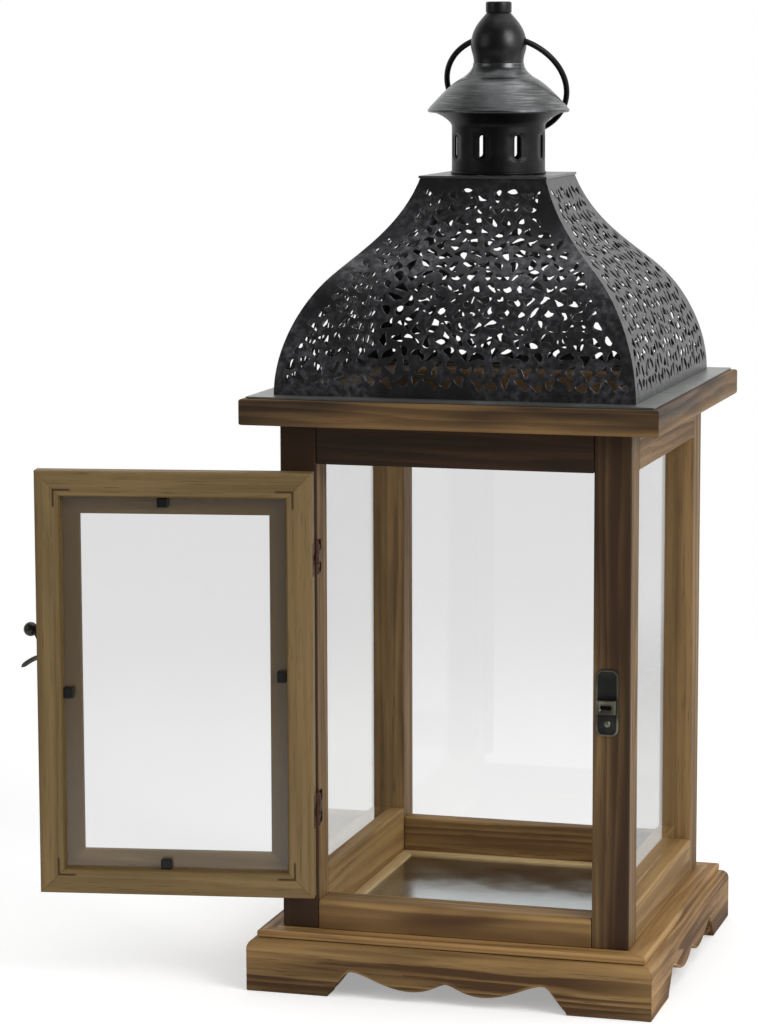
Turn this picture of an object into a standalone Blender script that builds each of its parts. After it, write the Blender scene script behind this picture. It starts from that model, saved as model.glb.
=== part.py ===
"""A wooden lantern with a hinged glass door, glass walls and a pierced metal roof.

Lengths are in metres and +Z is up. The origin is the centre of the candle plate's
top face, on the lantern's upright axis. The front faces -Y.
"""

from math import cos, hypot, pi, radians, sin, sqrt

import bmesh
import bpy
from mathutils import Matrix, Vector

# Clearance between two pieces that touch
GAP = 0.0003

# Base: scalloped skirt boards under a thin plinth board
SKIRT_HALF = 0.1285
SKIRT_HEIGHT = 0.033
SKIRT_THICKNESS = 0.016
SKIRT_ARRIS = 0.006
FOOT_INNER = 0.076
FOOT_LEAN = 0.0105
APRON_PEAK = 0.0165
APRON_LOBE = 0.0068
APRON_CUSP = 0.0132
PLINTH_SETBACK = 0.0055
PLINTH_THICKNESS = 0.0045

# Floor: candle plate in a frame of beads
PLATE_THICKNESS = 0.002
BEAD_WIDTH = 0.007
BEAD_HEIGHT = 0.0035

# Body: four posts, headers and rails
BODY_HALF = 0.110
POST_SIZE = 0.023
POST_HEIGHT = 0.3162
HEADER_HEIGHT = 0.0246
FRONT_RAIL_HEIGHT = 0.0179
FRONT_RAIL_ARRIS = 0.0025
SIDE_RAIL_HEIGHT = 0.0324
BACK_RAIL_HEIGHT = 0.0264
RAIL_LEDGE_DROP = 0.009
RAIL_LEDGE_DEPTH = 0.012

# Glass panes, which stand in grooves of the posts and headers
GLASS_THICKNESS = 0.002
GROOVE_DEPTH = 0.004
GROOVE_SLACK = 0.0006

# Cap board and the sheet flange on it
CAP_HALF = 0.130
CAP_THICKNESS = 0.016
CAP_ARRIS = 0.0012
CAP_HOLE_HALF = 0.080
FLANGE_HALF = 0.1263
FLANGE_HOLE_HALF = 0.105
SHEET = 0.001

# Roof: four ogee panels under a flat top plate
ROOF_FOOT_HALF = 0.1128
ROOF_TOP_HALF = 0.040
ROOF_HEIGHT = 0.129
ROOF_BEND_HALF = 0.085
ROOF_BEND_HEIGHT = 0.0705
ROOF_BEND_SLOPE = 1.03
ROOF_BEND_PULL = 0.021
ROOF_TOP_REACH = 0.010
ROOF_TOP_DROP = 0.030
ROOF_ROWS = 9
TOP_PLATE_THICKNESS = 0.0015
TOP_PLATE_OVERHANG = 0.0008
TOP_HOLE_RADIUS = 0.0265
LEAF_LENGTH = 0.0115
LEAF_WIDTH = 0.0072
LEAF_PITCH = 0.0190
LEAF_TILT = 0.62
PANEL_MARGIN = 0.0075

# Chimney neck with upright slots
NECK_RADIUS = 0.0293
NECK_WALL = 0.0012
NECK_HEIGHT = 0.0378
NECK_FLARE_RADIUS = 0.0395
NECK_FLARE_HEIGHT = 0.0085
SLOT_COUNT = 8
SLOT_TURN = radians(-6.5)
SLOT_WIDTH = 0.0042
SLOT_HEIGHT = 0.015
SLOT_SILL = 0.0095

# Hat over the neck
HAT_RIM_RADIUS = 0.0447
HAT_RIM_HEIGHT = 0.0025
HAT_HEM = 0.011
HAT_CONE_HEIGHT = 0.0193
HAT_CONE_TOP_RADIUS = 0.0222
HAT_COLLAR_RADIUS = 0.0160
HAT_COLLAR_HEIGHT = 0.0090
HAT_WALL = 0.0012

# Finial on the hat: a hollow bulb with a knob, and the ring through its side holes
FINIAL_FOOT_RADIUS = 0.0156
BULB_RADIUS = 0.0174
BULB_WALL = 0.0012
BULB_HEIGHT = 0.0305
BULB_WAIST = 0.0105
KNOB_RADIUS = 0.0081
KNOB_HEIGHT = 0.0070
KNOB_ARRIS = 0.0012
RING_RADIUS = 0.0385
RING_WIRE = 0.00185
RING_LEAN = radians(36.9)
RING_HOLE = 0.0026
RING_ABOVE_WAIST = 0.0025

# Door: a mitred frame, rebated inside for its glass
DOOR_BOTTOM_GAP = 0.005
DOOR_TOP_GAP = 0.0035
DOOR_THICKNESS = 0.012
DOOR_HINGE_GAP = 0.001
DOOR_LATCH_GAP = 0.0012
DOOR_OPEN = radians(170.0)
STILE_WIDTH = 0.027
REBATE_WIDTH = 0.011
REBATE_DEPTH = 0.0065
DOOR_GLASS_SLACK = 0.0005
CLIP_LENGTH = 0.007
CLIP_WIDTH = 0.0062
CLIP_THICKNESS = 0.0024
CLIP_ARRIS = 0.0006
CLIP_SIDE_OFFSET = 0.006
CLIP_END_OFFSET = 0.0065

# Butt hinges
LEAF_HEIGHT = 0.021
HINGE_LEAF_WIDTH = 0.0095
HINGE_LEAF_THICKNESS = 0.0008
HINGE_LEAF_SPREAD = 0.00025
KNUCKLE_RADIUS = 0.002
PIN_RADIUS = 0.0009
PIN_SLACK = 0.0003
PIN_HEAD_RADIUS = 0.0016
PIN_HEAD_HEIGHT = 0.0008
HINGE_INSET = 0.054

# Latch: a swinging hook on the door and a keeper with a staple on the post
LATCH_PLATE_WIDTH = 0.014
LATCH_PLATE_LENGTH = 0.041
LATCH_PLATE_THICKNESS = 0.001
LATCH_PLATE_CORNER = 0.0069
LATCH_PLATE_HEIGHT = 0.1507
LATCH_BACKSET = 0.012
RIVET_RISE = 0.006
RIVET_RADIUS = 0.0015
RIVET_HEAD_RADIUS = 0.0031
RIVET_HEAD_HEIGHT = 0.0011
LEVER_THICKNESS = 0.002
LEVER_REACH = 0.032
LEVER_EYE_RADIUS = 0.0038
LEVER_RAISED = radians(35.4)
BALL_RADIUS = 0.0045
KEEPER_FROM_DOOR = 0.0103
KEEPER_CORNER = 0.0045
STAPLE_DROP = 0.0023
STAPLE_WIDTH = 0.0120
STAPLE_HEIGHT = 0.0086
STAPLE_WALL = 0.0012
STAPLE_WINDOW_WIDTH = 0.007
STAPLE_WINDOW_HEIGHT = 0.0026

# Screws of the latch plate and the keeper
SCREW_RADIUS = 0.0009
SCREW_LENGTH = 0.006
SCREW_HEAD_RADIUS = 0.0021
SCREW_HEAD_HEIGHT = 0.0007
SCREW_SLACK = 0.0003
SCREW_DROP = 0.0130

# Levels and places that follow from the sizes above
PLINTH_HALF = SKIRT_HALF - PLINTH_SETBACK
PLINTH_TOP = -PLATE_THICKNESS - GAP
PLINTH_BOTTOM = PLINTH_TOP - PLINTH_THICKNESS
SKIRT_TOP = PLINTH_BOTTOM - GAP
TABLE = SKIRT_TOP - SKIRT_HEIGHT
POST_BOTTOM = PLINTH_TOP + GAP
POST_TOP = POST_BOTTOM + POST_HEIGHT
HEADER_BOTTOM = POST_TOP - HEADER_HEIGHT
POST_INNER = BODY_HALF - POST_SIZE
GLASS_OUTER = BODY_HALF - RAIL_LEDGE_DEPTH + GAP + GLASS_THICKNESS
GLASS_INNER = GLASS_OUTER - GLASS_THICKNESS
CAP_BOTTOM = POST_TOP + GAP
CAP_TOP = CAP_BOTTOM + CAP_THICKNESS
FLANGE_BOTTOM = CAP_TOP + GAP
ROOF_FOOT = FLANGE_BOTTOM + SHEET + GAP
ROOF_TOP = ROOF_FOOT + ROOF_HEIGHT
TOP_PLATE_BOTTOM = ROOF_TOP + GAP
NECK_BOTTOM = TOP_PLATE_BOTTOM + TOP_PLATE_THICKNESS + GAP
NECK_TOP = NECK_BOTTOM + NECK_HEIGHT
HAT_BOTTOM = NECK_TOP + GAP
HAT_TOP = HAT_BOTTOM + HAT_RIM_HEIGHT + HAT_CONE_HEIGHT + HAT_COLLAR_HEIGHT
FINIAL_BOTTOM = HAT_TOP + GAP
RING_AXIS_Z = FINIAL_BOTTOM + BULB_WAIST + RING_ABOVE_WAIST
RING_EXIT = BULB_RADIUS - BULB_WALL / 2
RING_CENTRE_DROP = sqrt(RING_RADIUS**2 - RING_EXIT**2)

HINGE_Y = -BODY_HALF - KNUCKLE_RADIUS - 0.0005
HINGE_X = -POST_INNER + DOOR_HINGE_GAP / 2
DOOR_LEFT = -POST_INNER + DOOR_HINGE_GAP
DOOR_RIGHT = POST_INNER - DOOR_LATCH_GAP
DOOR_BOTTOM = POST_BOTTOM + FRONT_RAIL_HEIGHT + DOOR_BOTTOM_GAP
DOOR_TOP = HEADER_BOTTOM - DOOR_TOP_GAP
DOOR_FRONT = -BODY_HALF
DOOR_BACK = DOOR_FRONT + DOOR_THICKNESS
DOOR_GLASS_Y = DOOR_BACK - REBATE_DEPTH + GAP

LATCH_PLATE_Y = DOOR_FRONT - GAP
LEVER_Y = LATCH_PLATE_Y - LATCH_PLATE_THICKNESS - GAP
RIVET_X = DOOR_RIGHT - LATCH_BACKSET
RIVET_Z = LATCH_PLATE_HEIGHT + RIVET_RISE
KEEPER_X = DOOR_RIGHT + KEEPER_FROM_DOOR
STAPLE_Z = LATCH_PLATE_HEIGHT - STAPLE_DROP
SCREW_Z = LATCH_PLATE_HEIGHT - SCREW_DROP

# Colour, roughness and metallic value of each finish
FINISHES = {
    "dark wood": ((0.060, 0.036, 0.022), 0.55, 0.0),
    "brown wood": ((0.160, 0.098, 0.050), 0.55, 0.0),
    "light wood": ((0.300, 0.200, 0.105), 0.55, 0.0),
    "glass": ((0.85, 0.90, 0.90), 0.05, 0.0),
    "mirror": ((0.75, 0.78, 0.80), 0.06, 1.0),
    "black metal": ((0.020, 0.020, 0.022), 0.45, 0.6),
    "grey metal": ((0.150, 0.160, 0.150), 0.40, 0.8),
    "bronze": ((0.070, 0.065, 0.050), 0.45, 0.9),
}


def clear_scene():
    for item in list(bpy.data.objects):
        bpy.data.objects.remove(item, do_unlink=True)


clear_scene()
parts = bpy.data.collections.new("wooden_lantern")
cutters = bpy.data.collections.new("cutters")
bpy.context.scene.collection.children.link(parts)
bpy.context.scene.collection.children.link(cutters)


def finish_of(name, finish):
    colour, roughness, metallic = FINISHES[finish]
    material = bpy.data.materials.new(name)
    material.use_nodes = True
    shader = material.node_tree.nodes["Principled BSDF"]
    shader.inputs["Base Color"].default_value = (*colour, 1.0)
    shader.inputs["Roughness"].default_value = roughness
    shader.inputs["Metallic"].default_value = metallic
    if finish == "glass":
        shader.inputs["Transmission Weight"].default_value = 1.0
    return material


def add(name, mesh, finish=None, place=None):
    """Put a mesh in the scene: a part if it has a finish, and otherwise a cutter."""
    item = bpy.data.objects.new(name, mesh)
    if finish:
        parts.objects.link(item)
        item.data.materials.append(finish_of(name, finish))
    else:
        cutters.objects.link(item)
        item.hide_render = True
        item.display_type = "WIRE"
    if place:
        item.matrix_world = place
    return item


def mesh_from(name, bm):
    mesh = bpy.data.meshes.new(name)
    bm.to_mesh(mesh)
    bm.free()
    return mesh


def box_mesh(name, low, high):
    bm = bmesh.new()
    low, high = Vector(low), Vector(high)
    place = Matrix.Translation((low + high) / 2) @ Matrix.Diagonal((*(high - low), 1.0))
    bmesh.ops.create_cube(bm, size=1.0, matrix=place)
    return mesh_from(name, bm)


def box(name, low, high, finish=None):
    return add(name, box_mesh(name, low, high), finish)


def cylinder(name, radius, start, end, finish=None, sides=16):
    """A round bar from start to end."""
    start, end = Vector(start), Vector(end)
    along = end - start
    turn = along.to_track_quat("Z", "Y").to_matrix().to_4x4()
    bm = bmesh.new()
    bmesh.ops.create_cone(
        bm,
        cap_ends=True,
        segments=sides,
        radius1=radius,
        radius2=radius,
        depth=along.length,
        matrix=Matrix.Translation((start + end) / 2) @ turn,
    )
    return add(name, mesh_from(name, bm), finish)


def prism_mesh(name, outlines, thickness, place):
    """Flat outlines in the x-y plane of place, thickened evenly to both sides of it."""
    curve = bpy.data.curves.new(name, "CURVE")
    curve.dimensions = "2D"
    curve.fill_mode = "BOTH"
    curve.extrude = thickness / 2
    for outline in outlines:
        spline = curve.splines.new("POLY")
        spline.points.add(len(outline) - 1)
        for point, (x, y) in zip(spline.points, outline):
            point.co = (x, y, 0.0, 1.0)
        spline.use_cyclic_u = True
    guide = bpy.data.objects.new(name, curve)
    bpy.context.scene.collection.objects.link(guide)
    evaluated = guide.evaluated_get(bpy.context.evaluated_depsgraph_get())
    mesh = bpy.data.meshes.new_from_object(evaluated)
    bpy.data.objects.remove(guide)
    bm = bmesh.new()
    bm.from_mesh(mesh)
    bmesh.ops.remove_doubles(bm, verts=bm.verts, dist=1e-6)
    bmesh.ops.transform(bm, matrix=place, verts=bm.verts)
    bmesh.ops.recalc_face_normals(bm, faces=bm.faces)
    bm.to_mesh(mesh)
    bm.free()
    mesh.shade_flat()
    return mesh


def turned(name, profile, steps, finish=None, closed=False):
    """A profile of (radius, height) turned about +Z, running down its outer side."""
    mesh = bpy.data.meshes.new(name)
    edges = [(i, i + 1) for i in range(len(profile) - 1)]
    if closed:
        edges.append((len(profile) - 1, 0))
    mesh.from_pydata([(r, 0.0, z) for r, z in profile], edges, [])
    item = add(name, mesh, finish)
    screw = item.modifiers.new("Turn", "SCREW")
    screw.angle = 2 * pi
    screw.steps = steps
    screw.render_steps = steps
    screw.use_merge_vertices = True
    screw.merge_threshold = 1e-5
    screw.use_normal_calculate = False
    return item


def combine(item, tool, operation="DIFFERENCE"):
    step = item.modifiers.new(operation.title(), "BOOLEAN")
    step.operation = operation
    step.object = tool
    step.solver = "EXACT"
    return item


def cut_square(mesh, point, normal):
    """Cut the mesh off beyond a plane and close the cut."""
    bm = bmesh.new()
    bm.from_mesh(mesh)
    geometry = bm.verts[:] + bm.edges[:] + bm.faces[:]
    bmesh.ops.bisect_plane(bm, geom=geometry, plane_co=point, plane_no=normal, clear_outer=True)
    rim = [edge for edge in bm.edges if edge.is_boundary]
    bmesh.ops.holes_fill(bm, edges=rim, sides=0)
    bmesh.ops.recalc_face_normals(bm, faces=bm.faces)
    bm.to_mesh(mesh)
    bm.free()


def round_off(item, angle=radians(35)):
    item.data.shade_smooth()
    item.data.set_sharp_from_angle(angle=angle)
    return item


def arc(centre, radius, start, end, steps):
    """Points on an arc, from the start angle to the end angle."""
    span = end - start
    angles = [start + span * i / steps for i in range(steps + 1)]
    return [(centre[0] + radius * cos(a), centre[1] + radius * sin(a)) for a in angles]


def bezier(p0, p1, p2, p3, steps):
    points = []
    for i in range(steps + 1):
        t = i / steps
        weights = ((1 - t) ** 3, 3 * t * (1 - t) ** 2, 3 * t**2 * (1 - t), t**3)
        points.append(tuple(sum(w * p[k] for w, p in zip(weights, (p0, p1, p2, p3))) for k in (0, 1)))
    return points


def quarter_turn(count):
    return Matrix.Rotation(count * pi / 2, 4, "Z")


# The sides, each a quarter turn from the one before about the upright axis
SIDES = ("front", "right", "back", "left")


def apron_outline():
    """The waste below the apron: feet at both ends, two lobes and a cusp between."""
    below = -0.1 * APRON_PEAK
    half = [(1.01 * FOOT_INNER, below), (FOOT_INNER, 0.0)]
    shoulder = FOOT_INNER - FOOT_LEAN
    half += bezier(
        (0.99 * FOOT_INNER, 0.15 * APRON_PEAK),
        (shoulder + 0.1 * FOOT_LEAN, 0.64 * APRON_PEAK),
        (shoulder, APRON_PEAK),
        (shoulder - APRON_PEAK / 3, APRON_PEAK),
        5,
    )
    lobe_x = 0.3 * FOOT_INNER
    half += bezier(
        half[-1],
        (shoulder - 0.9 * APRON_PEAK, 0.94 * APRON_PEAK),
        (1.7 * lobe_x, APRON_LOBE),
        (lobe_x, APRON_LOBE),
        7,
    )[1:]
    half += bezier(
        half[-1],
        (0.47 * lobe_x, APRON_LOBE),
        (0.26 * lobe_x, 0.92 * APRON_CUSP),
        (0.0, APRON_CUSP),
        5,
    )[1:]
    mirrored = [(-x, z) for x, z in reversed(half[:-1])]
    return [(x, TABLE + z) for x, z in half + mirrored]


def skirt_boards():
    """Mitred boards with a rounded top arris and a scalloped lower edge."""
    upright = Matrix.Rotation(pi / 2, 4, "X")
    waste_mesh = prism_mesh("apron_waste", [apron_outline()], 2 * SKIRT_THICKNESS, upright)
    inner = SKIRT_HALF - SKIRT_THICKNESS
    rounded = arc(
        (-SKIRT_HALF + SKIRT_ARRIS, SKIRT_TOP - SKIRT_ARRIS), SKIRT_ARRIS, pi, pi / 2, 5
    )
    section = [(-SKIRT_HALF, TABLE), *rounded, (-inner, SKIRT_TOP), (-inner, TABLE)]
    along_x = Matrix(((0, 0, 1, 0), (1, 0, 0, 0), (0, 1, 0, 0), (0, 0, 0, 1)))
    mesh = prism_mesh("skirt_board", [section], 2.2 * SKIRT_HALF, along_x)
    for sign in (-1, 1):
        cut_square(mesh, (0, -GAP / 2 * sqrt(2), 0), (sign, 1, 0))
    for turn, name in enumerate(SIDES):
        board = add(f"skirt_{name}", mesh.copy(), "brown wood", quarter_turn(turn))
        waste = add(f"skirt_{name}_waste", waste_mesh)
        middle = Matrix.Translation((0, -SKIRT_HALF + SKIRT_THICKNESS / 2, 0))
        waste.matrix_world = quarter_turn(turn) @ middle
        combine(board, waste)


def plinth_board():
    size = PLINTH_HALF
    board = box("plinth_board", (-size, -size, PLINTH_BOTTOM), (size, size, PLINTH_TOP), "brown wood")
    soften(board, 0.001)


def soften(item, width, segments=1):
    bevel = item.modifiers.new("Arris", "BEVEL")
    bevel.width = width
    bevel.segments = segments
    bevel.limit_method = "ANGLE"
    return item


def floor():
    """The candle plate, framed by four beads against the rails."""
    outer = POST_INNER - GAP
    inner = outer - BEAD_WIDTH
    half = inner - GAP
    box("candle_plate", (-half, -half, -PLATE_THICKNESS), (half, half, 0.0), "mirror")
    bottom = -PLATE_THICKNESS
    mesh = box_mesh("bead", (-outer, -outer, bottom), (outer, -inner, bottom + BEAD_HEIGHT))
    for sign in (-1, 1):
        cut_square(mesh, (0, -GAP / 2 * sqrt(2), 0), (sign, 1, 0))
    for turn, name in enumerate(SIDES):
        add(f"floor_bead_{name}", mesh.copy(), "light wood", quarter_turn(turn))


def grooved(item, low, high):
    groove = box(f"{item.name}_groove_{len(item.modifiers)}", low, high)
    return combine(item, groove)


def posts():
    """Square posts, grooved where a pane stands in them."""
    low, high = POST_BOTTOM, POST_TOP
    reach = POST_INNER + GROOVE_DEPTH
    near, far = GLASS_INNER - GROOVE_SLACK / 2, GLASS_OUTER + GROOVE_SLACK / 2
    groove_low = POST_BOTTOM + SIDE_RAIL_HEIGHT - RAIL_LEDGE_DROP
    groove_back_low = POST_BOTTOM + BACK_RAIL_HEIGHT - RAIL_LEDGE_DROP
    for across, x_sign in (("left", -1), ("right", 1)):
        for depth, y_sign in (("front", -1), ("back", 1)):
            corners = [(x_sign * a, y_sign * a, 0.0) for a in (POST_INNER, BODY_HALF)]
            x0, x1 = sorted(c[0] for c in corners)
            y0, y1 = sorted(c[1] for c in corners)
            post = box(f"post_{depth}_{across}", (x0, y0, low), (x1, y1, high), "dark wood")
            gx0, gx1 = sorted((x_sign * near, x_sign * far))
            gy0, gy1 = sorted((y_sign * (POST_INNER - 0.002), y_sign * reach))
            grooved(post, (gx0, gy0, groove_low), (gx1, gy1, high + 0.002))
            if depth == "back":
                bx0, bx1 = sorted((x_sign * (POST_INNER - 0.002), x_sign * reach))
                grooved(post, (bx0, near, groove_back_low), (bx1, far, high + 0.002))
            if (depth, across) == ("front", "left"):
                for height in hinge_heights():
                    combine(post, hinge_mortise(f"post_mortise_{height:.3f}", height, -1))


def between_posts(name, section, finish, turn):
    """A member of constant section that fills the space between two posts."""
    along_x = Matrix(((0, 0, 1, 0), (1, 0, 0, 0), (0, 1, 0, 0), (0, 0, 0, 1)))
    mesh = prism_mesh(name, [section], 2 * (POST_INNER - GAP), along_x)
    return add(name, mesh, finish, quarter_turn(turn))


def headers():
    front, back = -BODY_HALF, -POST_INNER
    near, far = -GLASS_OUTER - GROOVE_SLACK / 2, -GLASS_INNER + GROOVE_SLACK / 2
    plain = [(front, HEADER_BOTTOM), (front, POST_TOP), (back, POST_TOP), (back, HEADER_BOTTOM)]
    roof_of_groove = HEADER_BOTTOM + GROOVE_DEPTH
    groove = [(far, HEADER_BOTTOM), (far, roof_of_groove), (near, roof_of_groove), (near, HEADER_BOTTOM)]
    for turn, name in enumerate(SIDES):
        section = plain if name == "front" else plain + groove
        between_posts(f"header_{name}", section, "dark wood", turn)


def rails():
    """The front rail is plain. The others have an inner lip and an outer ledge for a pane."""
    front, back = -BODY_HALF, -POST_INNER
    top = POST_BOTTOM + FRONT_RAIL_HEIGHT
    rounded = arc(
        (front + FRONT_RAIL_ARRIS, top - FRONT_RAIL_ARRIS), FRONT_RAIL_ARRIS, pi, pi / 2, 3
    )
    section = [(front, POST_BOTTOM), *rounded, (back, top), (back, POST_BOTTOM)]
    between_posts("rail_front", section, "brown wood", 0)
    lip = front + RAIL_LEDGE_DEPTH
    for turn, name in list(enumerate(SIDES))[1:]:
        top = POST_BOTTOM + (BACK_RAIL_HEIGHT if name == "back" else SIDE_RAIL_HEIGHT)
        ledge = top - RAIL_LEDGE_DROP
        section = [
            (front, POST_BOTTOM),
            (front, ledge),
            (lip, ledge),
            (lip, top),
            (back, top),
            (back, POST_BOTTOM),
        ]
        between_posts(f"rail_{name}", section, "brown wood", turn)


def panes():
    half = POST_INNER + GROOVE_DEPTH - GROOVE_SLACK
    top = HEADER_BOTTOM + GROOVE_DEPTH - GROOVE_SLACK
    for turn, name in list(enumerate(SIDES))[1:]:
        rail = BACK_RAIL_HEIGHT if name == "back" else SIDE_RAIL_HEIGHT
        bottom = POST_BOTTOM + rail - RAIL_LEDGE_DROP + GAP
        low, high = (-half, -GLASS_OUTER, bottom), (half, -GLASS_INNER, top)
        mesh = box_mesh(f"pane_{name}", low, high)
        add(f"pane_{name}", mesh, "glass", quarter_turn(turn))


def framed_square(name, half, hole, bottom, top, finish, arris=0.0):
    """A square sheet or board with a square hole through its middle."""
    item = box(name, (-half, -half, bottom), (half, half, top), finish)
    if arris:
        soften(item, arris)
    over = 0.002
    hole_box = box(f"{name}_hole", (-hole, -hole, bottom - over), (hole, hole, top + over))
    return combine(item, hole_box)


def cap():
    framed_square("cap_board", CAP_HALF, CAP_HOLE_HALF, CAP_BOTTOM, CAP_TOP, "brown wood", CAP_ARRIS)
    top = FLANGE_BOTTOM + SHEET
    framed_square("roof_flange", FLANGE_HALF, FLANGE_HOLE_HALF, FLANGE_BOTTOM, top, "grey metal")


def evenly(line, count):
    """The line again, as count pieces of about one length."""
    lengths = [0.0]
    for a, b in zip(line, line[1:]):
        lengths.append(lengths[-1] + hypot(b[0] - a[0], b[1] - a[1]))
    points = []
    for i in range(count + 1):
        target = lengths[-1] * i / count
        k = max(j for j in range(len(line) - 1) if lengths[j] <= target or j == 0)
        share = (target - lengths[k]) / (lengths[k + 1] - lengths[k])
        points.append(tuple(a + share * (b - a) for a, b in zip(line[k], line[k + 1])))
    return points


def ogee():
    """The roof's outline as (half width, height above its foot): a bulge below a hollow."""
    bend = (ROOF_BEND_HALF, ROOF_BEND_HEIGHT)
    pull = ROOF_BEND_PULL * Vector((-1.0, ROOF_BEND_SLOPE)).normalized()
    lower = bezier(
        (ROOF_FOOT_HALF, 0.0),
        (ROOF_FOOT_HALF, 0.4 * ROOF_BEND_HEIGHT),
        (bend[0] - pull[0], bend[1] - pull[1]),
        bend,
        24,
    )
    upper = bezier(
        bend,
        (bend[0] + pull[0], bend[1] + pull[1]),
        (ROOF_TOP_HALF + ROOF_TOP_REACH, ROOF_HEIGHT - ROOF_TOP_DROP),
        (ROOF_TOP_HALF, ROOF_HEIGHT),
        24,
    )
    return evenly(lower + upper[1:], ROOF_ROWS)


def leaf_outline(x, z, tilt, squash):
    """One pierced leaf: a curled drop with a pointed tail, foreshortened by the slope."""
    shape = ((-0.06, -0.50), (0.44, -0.10), (0.38, 0.34), (-0.10, 0.50), (-0.44, 0.12))
    points = []
    for u, v in shape:
        u, v = u * LEAF_WIDTH, v * LEAF_LENGTH
        across = u * cos(tilt) - v * sin(tilt)
        along = u * sin(tilt) + v * cos(tilt)
        points.append((x + across, z + along * squash))
    return points


def leaves(profile):
    """A row of leaves in the middle of each facet of the ogee, staggered from row to row."""
    outlines = []
    for row, ((h0, z0), (h1, z1)) in enumerate(zip(profile, profile[1:])):
        squash = (z1 - z0) / hypot(h1 - h0, z1 - z0)
        room = min(h0, h1) - PANEL_MARGIN - LEAF_WIDTH / 2
        count = round(2 * room / LEAF_PITCH) + row % 2
        for column in range(count):
            x = -room + 2 * room * (column + 0.5) / count
            tilt = LEAF_TILT * (1 if (row + column) % 2 else -1)
            outlines.append(leaf_outline(x, ROOF_FOOT + (z0 + z1) / 2, tilt, squash))
    return outlines


def roof_panels():
    """Bend a sheet to the ogee, mitre it at the corners and pierce it with leaves."""
    profile = ogee()
    bm = bmesh.new()
    line = [bm.verts.new((-ROOF_FOOT_HALF * 1.1, -h, ROOF_FOOT + z)) for h, z in profile]
    edges = [bm.edges.new(pair) for pair in zip(line, line[1:])]
    swept = bmesh.ops.extrude_edge_only(bm, edges=edges)
    moved = [part for part in swept["geom"] if isinstance(part, bmesh.types.BMVert)]
    bmesh.ops.translate(bm, verts=moved, vec=(ROOF_FOOT_HALF * 2.2, 0, 0))
    bmesh.ops.recalc_face_normals(bm, faces=bm.faces)
    if sum((face.normal.y for face in bm.faces)) > 0:
        bmesh.ops.reverse_faces(bm, faces=bm.faces)
    sheet = add("roof_sheet", mesh_from("roof_sheet", bm))
    wall = sheet.modifiers.new("Wall", "SOLIDIFY")
    wall.thickness = SHEET
    wall.offset = -1.0
    wall.use_even_offset = True

    corner = ROOF_FOOT_HALF * 1.3
    apex = GAP / sqrt(2)
    wedge = [(0.0, -apex), (-corner, -corner - apex), (corner, -corner - apex)]
    height = 1.5 * ROOF_HEIGHT
    place = Matrix.Translation((0, 0, ROOF_FOOT + ROOF_HEIGHT / 2))
    mitre = add("roof_mitre", prism_mesh("roof_mitre", [wedge], height, place))
    combine(sheet, mitre, "INTERSECT")

    level = box(
        "roof_level",
        (-corner, -corner, ROOF_FOOT),
        (corner, corner, ROOF_TOP),
    )
    combine(sheet, level, "INTERSECT")

    facing = Matrix.Translation((0, -ROOF_FOOT_HALF, 0)) @ Matrix.Rotation(pi / 2, 4, "X")
    pierced = prism_mesh("leaf_cutters", leaves(profile), 2 * ROOF_FOOT_HALF - ROOF_TOP_HALF, facing)
    combine(sheet, add("leaf_cutters", pierced))

    bpy.context.view_layer.update()
    evaluated = sheet.evaluated_get(bpy.context.evaluated_depsgraph_get())
    mesh = bpy.data.meshes.new_from_object(evaluated)
    for turn, name in enumerate(SIDES):
        add(f"roof_panel_{name}", mesh.copy(), "black metal", quarter_turn(turn))


def roof_top_plate():
    half = ROOF_TOP_HALF + TOP_PLATE_OVERHANG
    top = TOP_PLATE_BOTTOM + TOP_PLATE_THICKNESS
    plate = box("roof_top_plate", (-half, -half, TOP_PLATE_BOTTOM), (half, half, top), "black metal")
    over = 0.002
    hole = cylinder(
        "top_plate_hole", TOP_HOLE_RADIUS, (0, 0, TOP_PLATE_BOTTOM - over), (0, 0, top + over), sides=32
    )
    combine(plate, hole)


def chimney_neck():
    """A tube that flares out under the hat, with round-ended slots about it."""
    flare_start = NECK_TOP - NECK_FLARE_HEIGHT
    flare = bezier(
        (NECK_FLARE_RADIUS, NECK_TOP),
        (NECK_FLARE_RADIUS - 0.4 * NECK_FLARE_HEIGHT, NECK_TOP - 0.15 * NECK_FLARE_HEIGHT),
        (NECK_RADIUS, flare_start + 0.4 * NECK_FLARE_HEIGHT),
        (NECK_RADIUS, flare_start),
        4,
    )
    outer = flare + [(NECK_RADIUS, NECK_BOTTOM)]
    inner = [(r - NECK_WALL, z) for r, z in reversed(outer)]
    neck = turned("chimney_neck", outer + inner, 24, "black metal", closed=True)
    sill = NECK_BOTTOM + SLOT_SILL
    radius = SLOT_WIDTH / 2
    upper = arc((0, sill + SLOT_HEIGHT - radius), radius, 0, pi, 4)
    lower = arc((0, sill + radius), radius, pi, 2 * pi, 4)
    upright = Matrix.Rotation(pi / 2, 4, "X")
    slot = prism_mesh("slot", [upper + lower], 4 * NECK_WALL, upright)
    for i in range(SLOT_COUNT):
        tool = add(f"slot_{i}", slot)
        turn = Matrix.Rotation(SLOT_TURN + 2 * pi * i / SLOT_COUNT, 4, "Z")
        tool.matrix_world = turn @ Matrix.Translation((0, -NECK_RADIUS + NECK_WALL / 2, 0))
        combine(neck, tool)
    round_off(neck)


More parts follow.
